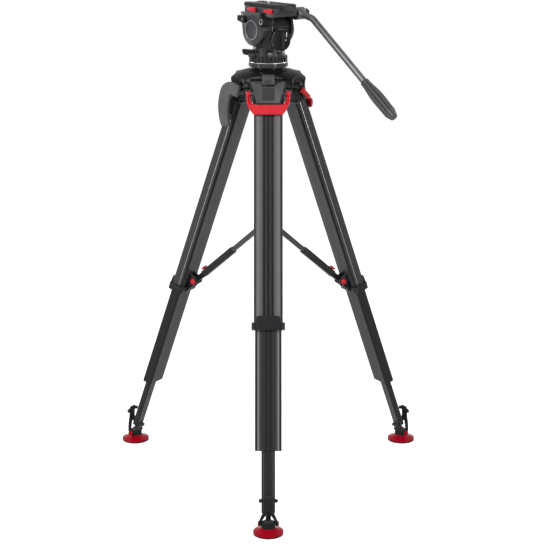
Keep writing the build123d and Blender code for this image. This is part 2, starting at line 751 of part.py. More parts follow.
# Spider: a dome cut to six sides over a round bowl, with a pair of cheeks for each leg's hinge
AXIS = Location((0, AXIS_Y, 0))
BOWL_R = BALL_SEAT_R + TURN_GAP
CORNER_R = hypot(FLAT_R, FLAT_HALF)
DOME_R = CORNER_R + DOME_TRIM
BOWL_RIM = RIM_Z - BOWL_DROP
CHEEK_END = HINGE_Z - CHEEK_R
POCKET_HALF = HEAD_HALF + POCKET_GAP
CATCH_HALF = CATCH_W / 2 + TURN_GAP
SPIDER_END = RIM_Z - BOWL_R - BOWL_WALL
with BuildPart() as spider:
    with BuildSketch(Plane.XZ):
        with BuildLine():
            Polyline((0, DECK_UNDER), (0, BOWL_RIM), (BOWL_LIP_R, BOWL_RIM))
            ThreePointArc((BOWL_LIP_R, BOWL_RIM), (FLAT_R, DOME_Z), (DOME_R, CORNER_Z))
            Polyline((DOME_R, CORNER_Z), (DOME_R, DECK_EDGE), (FLAT_R, DECK_UNDER), (0, DECK_UNDER))
        make_face()
    revolve(axis=Axis.Z)
    with BuildSketch(Plane.XY.offset(CHEEK_END)):
        with BuildLine():
            corners = []
            for angle in sorted(SIDES.values()):
                for way in (-1, 1):
                    heading = radians(angle) + way * atan2(FLAT_HALF, FLAT_R)
                    corners.append((CORNER_R * sin(heading), -CORNER_R * cos(heading)))
            Polyline(*corners, close=True)
        make_face()
    extrude(amount=BOWL_RIM - CHEEK_END, mode=Mode.INTERSECT)
    for angle in SIDES.values():
        with BuildSketch(leg_plane(angle)):
            with Locations((HINGE_R, HINGE_Z)):
                Circle(CHEEK_R)
                Rectangle(2 * CHEEK_R, DECK_UNDER - HINGE_Z, align=(Align.CENTER, Align.MIN))
        extrude(amount=FLAT_HALF, both=True)
    for angle in SIDES.values():
        with BuildSketch(leg_plane(angle)):
            with Locations((0, CHEEK_END)):
                Rectangle(2 * CORNER_R, DECK_UNDER - CHEEK_END, align=(Align.MIN, Align.MIN))
        extrude(amount=POCKET_HALF, both=True, mode=Mode.SUBTRACT)
    with Locations((0, 0, RIM_Z)):
        Sphere(BOWL_R + BOWL_WALL)
    with BuildSketch(Plane.XY.offset(BOWL_RIM)):
        Circle(2 * BOWL_R)
    extrude(amount=2 * BOWL_R, mode=Mode.SUBTRACT)
    with Locations((0, 0, RIM_Z)):
        Sphere(BOWL_R, mode=Mode.SUBTRACT)
    with BuildSketch(Plane.XY.offset(SPIDER_END - BOWL_WALL)):
        Circle(BOWL_HOLE_R)
    extrude(amount=3 * BOWL_WALL, mode=Mode.SUBTRACT)
    for angle in SIDES.values():
        with BuildSketch(leg_plane(angle)):
            with Locations((HINGE_R, HINGE_Z)):
                Circle(PIN_R + FIT / 2)
        extrude(amount=FLAT_HALF, both=True, mode=Mode.SUBTRACT)
        with BuildSketch(leg_plane(angle)):
            with Locations((CATCH_PIVOT_R - CATCH_EYE_R - TURN_GAP, DECK_UNDER)):
                Rectangle(CORNER_R, RIM_Z - DECK_UNDER, align=(Align.MIN, Align.MIN))
        extrude(amount=CATCH_HALF, both=True, mode=Mode.SUBTRACT)
        with BuildSketch(leg_plane(angle)):
            with Locations((CATCH_PIVOT_R, CATCH_PIVOT_Z)):
                Circle(CATCH_PIN_R + FIT)
        extrude(amount=CATCH_HALF + CATCH_PIN_LEN, both=True, mode=Mode.SUBTRACT)
write(spider.part, "spider", AXIS)

# Hinge pins, one across each pair of cheeks
with BuildPart() as hinge_pins:
    for angle in SIDES.values():
        with BuildSketch(leg_plane(angle)):
            with Locations((HINGE_R, HINGE_Z)):
                Circle(PIN_R)
        extrude(amount=FLAT_HALF, both=True)
write(hinge_pins.part, "hinge_pins", AXIS)

# Angle catch: a sprung tongue hinged in the spider's rim, with a finger hollow at its end
with BuildPart() as angle_catch:
    with BuildSketch(leg_plane(0)):
        with Locations((CATCH_PIVOT_R, CATCH_PIVOT_Z)):
            Circle(CATCH_EYE_R)
        with BuildLine():
            Polyline(
                (CATCH_PIVOT_R, CATCH_PIVOT_Z + CATCH_EYE_R),
                (CATCH_REACH - CATCH_T, CATCH_PIVOT_Z + CATCH_EYE_R / 2),
                (CATCH_REACH, CATCH_PIVOT_Z - CATCH_EYE_R),
                (CATCH_REACH, CATCH_END),
                (CATCH_REACH - CATCH_T, CATCH_END),
                (CATCH_REACH - CATCH_T, CATCH_PIVOT_Z - CATCH_EYE_R),
                (CATCH_PIVOT_R, CATCH_PIVOT_Z - CATCH_EYE_R),
                close=True,
            )
        make_face()
    extrude(amount=CATCH_W / 2, both=True)
    with BuildSketch(leg_plane(0)):
        with Locations((CATCH_PIVOT_R, CATCH_PIVOT_Z)):
            Circle(CATCH_PIN_R)
    extrude(amount=CATCH_W / 2 + CATCH_PIN_LEN, both=True)
    with BuildSketch(Plane.XZ.offset(CATCH_REACH)):
        with Locations((0, HOLLOW_Z)):
            Ellipse(HOLLOW_W, CATCH_T)
    extrude(amount=-HOLLOW_DEPTH, mode=Mode.SUBTRACT)
for side, angle in SIDES.items():
    write(angle_catch.part, f"angle_catch_{side}", AXIS * Location((0, 0, 0), (0, 0, angle)))

# Ball base: the half ball, its stud below and the base ring above, with the pan spigot
RIM = Location((0, AXIS_Y, RIM_Z))
with BuildPart() as ball_base:
    with BuildSketch(Plane.XZ):
        with BuildLine():
            Polyline(
                (BALL_SEAT_R, 0),
                (BASE_R - BASE_EDGE, 0),
                (BASE_R, BASE_EDGE),
                (BASE_R, BASE_H - BASE_EDGE),
                (BASE_R - BASE_EDGE, BASE_H),
                (SPIGOT_R, BASE_H),
                (SPIGOT_R, BASE_H + DRAG_H),
                (0, BASE_H + DRAG_H),
                (0, -STUD_END),
                (STUD_R, -STUD_END),
                (STUD_R, -BALL_CUT),
                (sqrt(BALL_SEAT_R**2 - BALL_CUT**2), -BALL_CUT),
            )
            RadiusArc((sqrt(BALL_SEAT_R**2 - BALL_CUT**2), -BALL_CUT), (BALL_SEAT_R, 0), -BALL_SEAT_R)
        make_face()
    revolve(axis=Axis.Z)
write(ball_base.part, "ball_base", RIM)

# Clamp knob: a dished washer against the bowl and a lobed grip on the stud
DISH_R = BOWL_R + BOWL_WALL + TURN_GAP
with BuildPart() as clamp_knob:
    with BuildSketch(Plane.XY.offset(-CLAMP_TOP)):
        Circle(CLAMP_NECK_R)
    extrude(amount=CLAMP_TOP - BALL_CUT)
    with BuildSketch(Plane.XY.offset(-CLAMP_END)):
        Circle(CLAMP_R)
        with PolarLocations(CLAMP_R + CLAMP_LOBE_R / 2, CLAMP_LOBES):
            Circle(CLAMP_LOBE_R, mode=Mode.SUBTRACT)
    extrude(amount=CLAMP_END - CLAMP_TOP)
    Sphere(DISH_R, mode=Mode.SUBTRACT)
    with BuildSketch(Plane.XY.offset(-STUD_END)):
        Circle(STUD_R + FIT)
    extrude(amount=STUD_END, mode=Mode.SUBTRACT)
write(clamp_knob.part, "clamp_knob", RIM)

# Spreader: the arms run from the hub's lugs to the brackets on the leg collars
BRACKET_AT_R = HINGE_R - BRACKET_Y * cos(TILT) - BRACKET_Z * sin(TILT)
BRACKET_AT_Z = HINGE_Z - BRACKET_Y * sin(TILT) + BRACKET_Z * cos(TILT)
ARM_REACH = hypot(BRACKET_AT_R - HUB_R, HUB_Z - BRACKET_AT_Z)
ARM_DROP = degrees(atan2(HUB_Z - BRACKET_AT_Z, BRACKET_AT_R - HUB_R))
EYE_HALF = ARM_W / 2
LUG_IN = EYE_HALF + TURN_GAP


def place_arm(angle):
    """Location of an arm's frame: at its hub pivot, +X along the arm, +Y across it."""
    turn = Location((0, AXIS_Y, HUB_Z), (0, 0, angle - 90))
    return turn * Location((HUB_R, 0, 0), (0, ARM_DROP, 0))


# Hub: a core with three pairs of lugs, each with its pin
with BuildPart() as spreader_hub:
    with BuildSketch(Plane.XY.offset(-HUB_H / 2)):
        Circle(HUB_CORE_R)
    extrude(amount=HUB_H)
    for angle in SIDES.values():
        with BuildSketch(leg_plane(angle)):
            with Locations((HUB_R, 0)):
                Circle(LUG_R)
                Rectangle(HUB_R, 2 * LUG_R, align=(Align.MAX, Align.CENTER))
        extrude(amount=LUG_IN + LUG_T, both=True)
    for angle in SIDES.values():
        with BuildSketch(leg_plane(angle)):
            with Locations((HUB_R - LUG_R - TURN_GAP, 0)):
                Rectangle(2 * HUB_R, 2 * HUB_H, align=(Align.MIN, Align.CENTER))
        extrude(amount=LUG_IN, both=True, mode=Mode.SUBTRACT)
    for angle in SIDES.values():
        with BuildSketch(leg_plane(angle)):
            with Locations((HUB_R, 0)):
                Circle(ARM_PIN_R)
        extrude(amount=LUG_IN + LUG_T, both=True)
write(spreader_hub.part, "spreader_hub", Location((0, AXIS_Y, HUB_Z)))

# Arm: a flat bar with an eye on the hub's pin, bored where it runs under the length button's stem
BUTTON_X = ARM_REACH - SLEEVE_BUTTON_AT
with BuildPart() as spreader_arm:
    with BuildSketch(Plane.XZ):
        Circle(LUG_R)
        Rectangle(ARM_LEN, ARM_D, align=(Align.MIN, Align.CENTER))
        Circle(ARM_PIN_R + TURN_GAP, mode=Mode.SUBTRACT)
    extrude(amount=EYE_HALF, both=True)
    with BuildSketch(Plane.XY):
        with Locations((BUTTON_X, 0)):
            Circle(BUTTON_STEM_R + TURN_GAP)
    extrude(amount=ARM_D / 2, mode=Mode.SUBTRACT)
write_legs(spreader_arm.part, "spreader_arm", place_arm)

# Sleeve: a box tube over the arm's outer end, with the tongue that meets the bracket
SLEEVE_STOP = ARM_REACH - TONGUE_L
with BuildPart() as spreader_sleeve:
    with BuildSketch(Plane.YZ.offset(SLEEVE_START)):
        RectangleRounded(SLEEVE_W, SLEEVE_D, SLEEVE_ROUND)
    extrude(amount=SLEEVE_STOP - SLEEVE_START)
    with BuildSketch(Plane.YZ.offset(SLEEVE_START)):
        Rectangle(ARM_W + 2 * FIT, ARM_D + 2 * FIT)
    extrude(amount=ARM_LEN - SLEEVE_START, mode=Mode.SUBTRACT)
    with BuildSketch(Plane.XZ):
        with Locations((ARM_REACH, 0)):
            Circle(TONGUE_R)
            Rectangle(TONGUE_L, 2 * TONGUE_R, align=(Align.MAX, Align.CENTER))
    extrude(amount=BRACKET_GAP / 2 - FIT, both=True)
    with BuildSketch(Plane.XY.offset(SLEEVE_D / 2)):
        with Locations((BUTTON_X, 0)):
            Circle(BUTTON_STEM_R + TURN_GAP)
    extrude(amount=-SLEEVE_D / 2, mode=Mode.SUBTRACT)
write_legs(spreader_sleeve.part, "spreader_sleeve", place_arm)

# Length button: a square sprung button on the sleeve, standing proud by its travel
with BuildPart() as length_button:
    with BuildSketch(Plane.XY.offset(SLEEVE_D / 2 + BUTTON_T / 2)):
        RectangleRounded(BUTTON_L, BUTTON_W, BUTTON_ROUND)
    extrude(amount=BUTTON_T)
    with BuildSketch(Plane.XY.offset(SLEEVE_D / 4)):
        Circle(BUTTON_STEM_R)
    extrude(amount=SLEEVE_D / 4 + BUTTON_T / 2)
write_legs(
    length_button.part.moved(Location((BUTTON_X, 0, 0))),
    "length_button",
    place_arm,
)

# Pan drag ring: a ribbed ring that turns round the spigot
HEAD = RIM * Location((0, 0, 0), (0, 0, PAN))
PAN_Z = BASE_H + DRAG_H
with BuildPart() as drag_ring:
    with BuildSketch(Plane.XY.offset(BASE_H)):
        Circle(DRAG_R)
        Circle(SPIGOT_R + TURN_GAP, mode=Mode.SUBTRACT)
        with PolarLocations(DRAG_R, DRAG_RIBS):
            Circle(DRAG_CUT_R, mode=Mode.SUBTRACT)
    extrude(amount=DRAG_H)
write(drag_ring.part, "drag_ring", HEAD)

# Pan body: neck, tilt drum across it and the boss behind for the balance dial
NECK_TOP = PAN_Z + NECK_H
BRAKE_FOOT = PAN_BRAKE_Z - LOCK_H / 2
LEDGE = Location((0, 0, 0), (0, 0, LEDGE_ANGLE))
with BuildPart() as pan_body:
    with BuildSketch(Plane.XY.offset(PAN_Z)):
        Circle(NECK_BASE_R)
    with BuildSketch(Plane.XY.offset(NECK_TOP)):
        Circle(NECK_TOP_R)
    loft()
    with BuildSketch(Plane.XY.offset(NECK_TOP)):
        RectangleRounded(2 * DRUM_R, 2 * DRUM_R, DRUM_R / 2)
    extrude(amount=TILT_Z - NECK_TOP)
    with BuildSketch(Plane.YZ):
        with Locations((0, TILT_Z)):
            Circle(DRUM_R)
    extrude(amount=DRUM_HALF, both=True)
    with BuildSketch(Plane.XZ.offset(-DIAL_Y)):
        with Locations((DIAL_X, DIAL_Z)):
            Circle(DIAL_BOSS_R)
    extrude(amount=DIAL_Y)
    with BuildSketch(Plane.XZ.offset(-DIAL_Y - DIAL_T)):
        with Locations((DIAL_X, DIAL_Z)):
            Circle(SCREW_HEAD_R)
    extrude(amount=DIAL_T, mode=Mode.SUBTRACT)
    with BuildSketch(Plane.XY.offset(PAN_Z)):
        with Locations(LEDGE):
            with Locations((NECK_BASE_R, 0)):
                Circle(VIAL_R + DRAG_CUT_R)
    extrude(amount=VIAL_H)
    with BuildSketch(Plane.XY.offset(PAN_Z + VIAL_H)):
        with Locations(LEDGE):
            with Locations((NECK_BASE_R, 0)):
                Circle(VIAL_R + DRAG_CUT_R)
    extrude(amount=2 * VIAL_H, mode=Mode.SUBTRACT)
    with BuildSketch(Plane.XY.offset(PAN_Z + TURN_GAP)):
        with Locations((-NECK_BASE_R - LOCK_H, 0)):
            Circle(LOCK_H)
            Rectangle(LOCK_H + NECK_BASE_R - NECK_TOP_R, 2 * LOCK_H, align=(Align.MIN, Align.CENTER))
    extrude(amount=BRAKE_FOOT - PAN_Z - TURN_GAP)
    with BuildSketch(Plane.XY.offset(BRAKE_FOOT)):
        with Locations((-NECK_BASE_R - LOCK_H, 0)):
            Circle(CLAMP_PIN_R)
    extrude(amount=LOCK_H)
write(pan_body.part, "pan_body", HEAD)

# Bubble level: a round vial on its ledge
with BuildPart() as bubble_level:
    with BuildSketch(Plane.XY.offset(PAN_Z + VIAL_H)):
        with Locations(LEDGE):
            with Locations((NECK_BASE_R, 0)):
                Circle(VIAL_R)
    extrude(amount=VIAL_H)
write(bubble_level.part, "bubble_level", HEAD)

# Balance dial: a disc with a finger rib across it, turning in the boss behind the drum
with BuildPart() as balance_dial:
    with BuildSketch(Plane.XZ.offset(-DIAL_Y)):
        with Locations((DIAL_X, DIAL_Z)):
            Circle(DIAL_R)
    extrude(amount=DIAL_T)
    with BuildSketch(Plane.XZ.offset(-DIAL_Y + DIAL_T)):
        with Locations((DIAL_X, DIAL_Z)):
            Rectangle(DIAL_RIB_W, 2 * (DIAL_R - DIAL_RIB_W / 2))
    extrude(amount=DIAL_RIB_H, taper=DIAL_TAPER)
    with BuildSketch(Plane.XZ.offset(-DIAL_Y - DIAL_T)):
        with Locations((DIAL_X, DIAL_Z)):
            Circle(SCREW_HEAD_R - TURN_GAP)
    extrude(amount=DIAL_T)
write(balance_dial.part, "balance_dial", HEAD)

# Pan brake lever: an eye on the neck's side and a paddle, swinging level round the neck's pin
with BuildPart() as pan_brake:
    with BuildSketch(Plane.XY.offset(BRAKE_FOOT)):
        with Locations((-NECK_BASE_R - LOCK_H, 0)):
            Circle(LOCK_H - TURN_GAP)
        with BuildLine():
            Polyline(
                (-NECK_BASE_R - 2 * LOCK_H, 0),
                (-NECK_BASE_R - LOCK_H - LOCK_W, PAN_BRAKE_LEN),
                (-NECK_BASE_R - LOCK_H, PAN_BRAKE_LEN),
                (-NECK_BASE_R - TURN_GAP, 0),
                close=True,
            )
        make_face()
    extrude(amount=LOCK_H)
    with BuildSketch(Plane.XY.offset(BRAKE_FOOT)):
        with Locations((-NECK_BASE_R - LOCK_H, 0)):
            Circle(CLAMP_PIN_R + TURN_GAP)
    extrude(amount=LOCK_H, mode=Mode.SUBTRACT)
write(pan_brake.part, "pan_brake", HEAD)

# Tilt table: two cheek discs outside the drum, carrying the grooved table above it
CHEEK_IN = DRUM_HALF + TURN_GAP
CHEEK_OUT = CHEEK_IN + CHEEK_T
TABLE_TOP = TABLE_Z + TABLE_H
TABLE_L = TABLE_FRONT + TABLE_REAR
TABLE_MID = (TABLE_FRONT - TABLE_REAR) / 2
LUG_X = TILT_KNOB_X - TILT_KNOB_LEN - TURN_GAP
with BuildPart() as tilt_table:
    with BuildSketch(Plane.XY.offset(TABLE_Z)):
        with Locations((0, TABLE_MID)):
            RectangleRounded(TABLE_W, TABLE_L, TABLE_ROUND)
    extrude(amount=TABLE_H)
    with BuildSketch(Plane.YZ.offset(CHEEK_IN)):
        with Locations((0, TILT_Z)):
            Circle(CHEEK_DISC_R)
        with BuildLine():
            Polyline(
                (-CHEEK_DISC_R, TILT_Z),
                (CHEEK_DISC_R, TILT_Z),
                (CHEEK_DISC_R + CHEEK_T, TABLE_Z + CHEEK_T),
                (-CHEEK_DISC_R + CHEEK_T, TABLE_Z + CHEEK_T),
                close=True,
            )
        make_face()
    extrude(amount=CHEEK_T)
    mirror(about=Plane.YZ)
    with BuildSketch(Plane.XY.offset(TABLE_Z)):
        Rectangle(2 * CHEEK_OUT, 2 * (CHEEK_DISC_R - CHEEK_T))
    extrude(amount=CHEEK_T)
    with BuildSketch(Plane.YZ.offset(-CHEEK_OUT)):
        with Locations((0, TILT_Z)):
            Circle(CAP_DISC_R)
            Circle(CAP_DISC_R - CAP_DISC_T, mode=Mode.SUBTRACT)
    extrude(amount=-CAP_DISC_T)
    with BuildSketch(Plane.YZ.offset(-TILT_KNOB_X)):
        with Locations((TILT_KNOB_Y, TILT_KNOB_Z)):
            Circle(TILT_KNOB_R + TURN_GAP)
    extrude(amount=TILT_KNOB_LEN + TURN_GAP, mode=Mode.SUBTRACT)
    with BuildSketch(Plane.XY.offset(TABLE_TOP)):
        with Locations((0, TABLE_MID)):
            Rectangle(RAIL_W + 2 * SLIDE_GAP, TABLE_L)
    extrude(amount=-RAIL_H, mode=Mode.SUBTRACT)
    with BuildSketch(Plane.YZ.offset(-LUG_X)):
        with Locations((TILT_KNOB_Y, TILT_KNOB_Z)):
            Circle(TILT_KNOB_R - TILT_KNOB_LUG / 2)
            Rectangle(2 * TILT_KNOB_LUG, TABLE_Z - TILT_KNOB_Z, align=(Align.CENTER, Align.MIN))
    extrude(amount=TILT_KNOB_LUG)
    with BuildSketch(Plane.YZ.offset(-LUG_X)):
        with Locations((TILT_KNOB_Y, TILT_KNOB_Z)):
            Circle(CLAMP_PIN_R)
    extrude(amount=-TILT_KNOB_LUG)
    with BuildSketch(Plane.YZ.offset(-CHEEK_OUT)):
        with Locations((TILT_BRAKE_Y, TILT_BRAKE_Z)):
            Circle(CLAMP_PIN_R)
    extrude(amount=-LOCK_W)
    for y in (LOCK_Y, RELEASE_Y):
        with BuildSketch(Plane.XY.offset(TABLE_Z)):
            with Locations((-TABLE_W / 2, y)):
                Rectangle(2 * LOCK_W, 2 * LOCK_W)
        extrude(amount=LOCK_Z - LOCK_TALL / 2 - TABLE_Z)
        with BuildSketch(Plane.XY.offset(TABLE_Z)):
            with Locations((-TABLE_W / 2 - LOCK_W / 2, y)):
                Circle(SCREW_R)
        extrude(amount=LOCK_Z + LOCK_TALL / 2 - TABLE_Z)
    with BuildSketch(Plane.YZ.offset(TABLE_W / 2)):
        with Locations((BAR_Y, BAR_Z)):
            Circle(ROSETTE_R)
    extrude(amount=BAR_X - BAR_R - ROSETTE_T - TABLE_W / 2)
    with BuildSketch(Plane.YZ.offset(TABLE_W / 2)):
        with Locations((BAR_Y, BAR_Z)):
            Circle(CLAMP_PIN_R)
    extrude(amount=BAR_X + BAR_R + ROSETTE_T - TABLE_W / 2)
write(tilt_table.part, "tilt_table", HEAD)

# Tilt drag knob: a fluted drum on the pin behind the left cheek
with BuildPart() as tilt_drag_knob:
    with BuildSketch(Plane.YZ.offset(-TILT_KNOB_X)):
        with Locations((TILT_KNOB_Y, TILT_KNOB_Z)):
            Circle(TILT_KNOB_R)
    extrude(amount=TILT_KNOB_LEN)
    chamfer(tilt_drag_knob.faces().sort_by(Axis.X)[0].edges(), TILT_KNOB_EDGE)
    with BuildSketch(Plane.YZ.offset(-TILT_KNOB_X)):
        with Locations((TILT_KNOB_Y, TILT_KNOB_Z)):
            Circle(TILT_KNOB_EYE_R)
    extrude(amount=TILT_KNOB_EDGE, mode=Mode.SUBTRACT)
    with BuildSketch(Plane.YZ.offset(-LUG_X)):
        with Locations((TILT_KNOB_Y, TILT_KNOB_Z)):
            Circle(CLAMP_PIN_R + TURN_GAP)
    extrude(amount=-TILT_KNOB_LUG - 2 * TURN_GAP, mode=Mode.SUBTRACT)
write(tilt_drag_knob.part, "tilt_drag_knob", HEAD)

# Tilt brake lever: a paddle on the left cheek that points forward
with BuildPart() as tilt_brake:
    with BuildSketch(Plane.YZ.offset(-CHEEK_OUT - TURN_GAP)):
        with Locations((TILT_BRAKE_Y, TILT_BRAKE_Z)):
            Circle(LOCK_H)
        with BuildLine():
            Polyline(
                (TILT_BRAKE_Y, TILT_BRAKE_Z + LOCK_H),
                (TILT_BRAKE_Y + TILT_BRAKE_LEN, TILT_BRAKE_Z + LOCK_H),
                (TILT_BRAKE_Y + TILT_BRAKE_LEN, TILT_BRAKE_Z - LOCK_H / 2),
                (TILT_BRAKE_Y, TILT_BRAKE_Z - LOCK_H),
                close=True,
            )
        make_face()
    extrude(amount=-LOCK_W)
    with BuildSketch(Plane.YZ.offset(-CHEEK_OUT)):
        with Locations((TILT_BRAKE_Y, TILT_BRAKE_Z)):
            Circle(CLAMP_PIN_R + TURN_GAP)
    extrude(amount=-2 * LOCK_W, mode=Mode.SUBTRACT)
write(tilt_brake.part, "tilt_brake", HEAD)

# Plate lock and plate release: wedge-shaped levers on pins at the table's left side
LEVER_SIDE = -TABLE_W / 2
for name, y in (("plate_lock", LOCK_Y), ("plate_release", RELEASE_Y)):
    with BuildPart() as plate_lever:
        with BuildSketch(Plane.XY.offset(LOCK_Z - LOCK_TALL / 2)):
            with Locations((LEVER_SIDE - LOCK_W / 2, y)):
                Circle(LOCK_W / 2 - TURN_GAP)
            with BuildLine():
                Polyline(
                    (LEVER_SIDE - TURN_GAP, y),
                    (LEVER_SIDE - LOCK_W / 2, y + LOCK_L),
                    (LEVER_SIDE - LOCK_W, y + LOCK_L - LOCK_W / 2),
                    (LEVER_SIDE - LOCK_W + TURN_GAP, y),
                    close=True,
                )
            make_face()
        extrude(amount=LOCK_TALL)
        with BuildSketch(Plane.YZ.offset(LEVER_SIDE)):
            with BuildLine():
                Polyline(
                    (y - LOCK_W, LOCK_Z - LOCK_TALL / 2),
                    (y - LOCK_W, LOCK_Z + LOCK_TALL / 2),
                    (y, LOCK_Z + LOCK_TALL / 2),
                    (y + LOCK_L, LOCK_Z + LOCK_TIP / 2),
                    (y + LOCK_L, LOCK_Z - LOCK_TIP / 2),
                    (y, LOCK_Z - LOCK_TALL / 2),
                    close=True,
                )
            make_face()
        extrude(amount=-2 * LOCK_W, mode=Mode.INTERSECT)
        with BuildSketch(Plane.XY.offset(LOCK_Z - LOCK_TALL / 2)):
            with Locations((LEVER_SIDE - LOCK_W / 2, y)):
                Circle(SCREW_R + TURN_GAP)
        extrude(amount=LOCK_TALL, mode=Mode.SUBTRACT)
    write(plate_lever.part, name, HEAD)

# Camera plate: a rail in the table's groove, a flat deck with a screw slot, and two rubber strips
PLATE_TOP = TABLE_TOP + PLATE_H
STRIP_TOP = PLATE_TOP + PAD_STRIP_T
STRIP_X = (PLATE_W - PAD_STRIP_W) / 2 - PAD_STRIP_IN
SCREW_SEAT = TABLE_TOP - RAIL_H + SCREW_HEAD_H + TURN_GAP
with BuildPart() as plate_deck:
    with BuildSketch(Plane.XY.offset(TABLE_TOP)):
        with Locations((0, PLATE_Y)):
            RectangleRounded(PLATE_W, PLATE_L, PLATE_ROUND)
    extrude(amount=PLATE_H)
    with BuildSketch(Plane.XY.offset(TABLE_TOP - RAIL_H)):
        with Locations((0, PLATE_Y)):
            Rectangle(RAIL_W, PLATE_L)
    extrude(amount=RAIL_H)
    with BuildSketch(Plane.XY.offset(TABLE_TOP - RAIL_H)):
        with Locations((0, PLATE_Y)):
            SlotOverall(SLOT_L, 2 * (SCREW_HEAD_R + TURN_GAP), rotation=90)
    extrude(amount=SCREW_HEAD_H + 2 * TURN_GAP, mode=Mode.SUBTRACT)
    with BuildSketch(Plane.XY.offset(TABLE_TOP - RAIL_H)):
        with Locations((0, PLATE_Y)):
            SlotOverall(SLOT_L, 2 * (SCREW_R + TURN_GAP), rotation=90)
    extrude(amount=RAIL_H + PLATE_H, mode=Mode.SUBTRACT)
    with BuildSketch(Plane.XY.offset(PLATE_TOP)):
        with Locations((0, VIDEO_PIN_Y)):
            Circle(SCREW_R)
    extrude(amount=PAD_STRIP_T)
with BuildPart() as plate_strips:
    with BuildSketch(Plane.XY.offset(PLATE_TOP)):
        for x in (-STRIP_X, STRIP_X):
            with Locations((x, PLATE_Y)):
                Rectangle(PAD_STRIP_W, PLATE_L - 2 * PLATE_ROUND)
    extrude(amount=PAD_STRIP_T)
write(Compound(children=[plate_deck.part, *plate_strips.part.solids()]), "camera_plate", HEAD)

# Camera screw: a wide slotted head under the plate, a waisted shank and the thread above the strips
with BuildPart() as plate_screw:
    with BuildSketch(Plane.XY.offset(SCREW_SEAT - SCREW_HEAD_H)):
        Circle(SCREW_HEAD_R)
    extrude(amount=SCREW_HEAD_H)
    with BuildSketch(Plane.XY.offset(SCREW_SEAT)):
        Circle(SCREW_SHANK_R)
    extrude(amount=STRIP_TOP - SCREW_SEAT)
    with BuildSketch(Plane.XY.offset(STRIP_TOP)):
        Circle(SCREW_R)
    extrude(amount=SCREW_RISE)
    with BuildSketch(Plane.XY.offset(SCREW_SEAT - SCREW_HEAD_H)):
        Rectangle(2 * SCREW_HEAD_R, COIN_SLOT_W)
    extrude(amount=COIN_SLOT_DEPTH, mode=Mode.SUBTRACT)
write(plate_screw.part, "plate_screw", HEAD)

# Pan bar: an eye on the table's pin and a bent rod that slopes down behind the head
nose = radians(BAR_NOSE_DROP)
drop = radians(BAR_DROP)
BEND_Y = BAR_Y - BAR_NOSE * cos(nose)
BEND_Z = BAR_Z - BAR_NOSE * sin(nose)
ROD_RUN = BAR_RUN - GRIP_L / 2
ROD_ROOT = (ROSETTE_R + CLAMP_PIN_R) / 2
EYE_IN = BAR_X - BAR_R - ROSETTE_T
EYE_OUT = BAR_X + BAR_R + BAR_EYE_LIP
grip_start = (BAR_X, BEND_Y - (BAR_RUN - GRIP_L) * cos(drop), BEND_Z - (BAR_RUN - GRIP_L) * sin(drop))
along = (0, -cos(drop), -sin(drop))
with BuildPart() as pan_bar:
    with BuildLine(Plane.YZ.offset(BAR_X)) as bar_path:
        FilletPolyline(
            (BAR_Y - ROD_ROOT * cos(nose), BAR_Z - ROD_ROOT * sin(nose)),
            (BEND_Y, BEND_Z),
            (BEND_Y - ROD_RUN * cos(drop), BEND_Z - ROD_RUN * sin(drop)),
            radius=BAR_BEND_R,
        )
    with BuildSketch(Plane(origin=bar_path.line @ 0, z_dir=bar_path.line % 0)):
        Circle(BAR_R)
    sweep()
    with BuildSketch(Plane.YZ.offset(EYE_IN)):
        with Locations((BAR_Y, BAR_Z)):
            Circle(ROSETTE_R)
    extrude(amount=EYE_OUT - EYE_IN)
    with BuildSketch(Plane.YZ.offset(EYE_IN)):
        with Locations((BAR_Y, BAR_Z)):
            Circle(CLAMP_PIN_R + TURN_GAP)
    extrude(amount=EYE_OUT - EYE_IN, mode=Mode.SUBTRACT)
write(pan_bar.part, "pan_bar", HEAD)

# Grip: a fluted handle over the rod's end, tapered to the rod and chamfered at its cap
GRIP_WAIST = GRIP_L - 3 * GRIP_CAP
with BuildPart() as grip:
    with BuildSketch(Plane(origin=grip_start, x_dir=(1, 0, 0), z_dir=(0, sin(drop), -cos(drop)))):
        with BuildLine():
            Line((0, 0), (GRIP_NECK_R, 0))
            side = Spline(
                (GRIP_NECK_R, 0),
                (GRIP_R, GRIP_SHOULDER),
                (GRIP_R, GRIP_WAIST),
                tangents=((0, 1), (0, 1)),
            )
            Polyline(side @ 1, (GRIP_R - GRIP_CAP, GRIP_L), (0, GRIP_L), (0, 0))
        make_face()
    revolve(axis=Axis(grip_start, along))
    with BuildSketch(Plane(origin=grip_start, x_dir=(1, 0, 0), z_dir=along)):
        with PolarLocations(GRIP_R + FLUTE_OUT, GRIP_FLUTES):
            Circle(FLUTE_R)
    extrude(amount=GRIP_WAIST, mode=Mode.SUBTRACT)
    with BuildSketch(Plane(origin=grip_start, x_dir=(1, 0, 0), z_dir=along)):
        Circle(BAR_R + FIT)
    extrude(amount=GRIP_L / 2, mode=Mode.SUBTRACT)
write(grip.part, "grip", HEAD)

# Bar clamp: a lobed screw knob on the same pin
with BuildPart() as bar_clamp:
    with BuildSketch(Plane.YZ.offset(EYE_OUT + TURN_GAP)):
        with Locations((BAR_Y, BAR_Z)):
            Circle(CLAMP_SCREW_R)
            with PolarLocations(CLAMP_SCREW_R + CLAMP_FLUTE_OUT, CLAMP_FLUTES):
                Circle(CLAMP_FLUTE_R, mode=Mode.SUBTRACT)
    extrude(amount=CLAMP_SCREW_T)
    with BuildSketch(Plane.YZ.offset(EYE_OUT)):
        with Locations((BAR_Y, BAR_Z)):
            Circle(CLAMP_PIN_R + FIT)
    extrude(amount=ROSETTE_T + FIT, mode=Mode.SUBTRACT)
write(bar_clamp.part, "bar_clamp", HEAD)
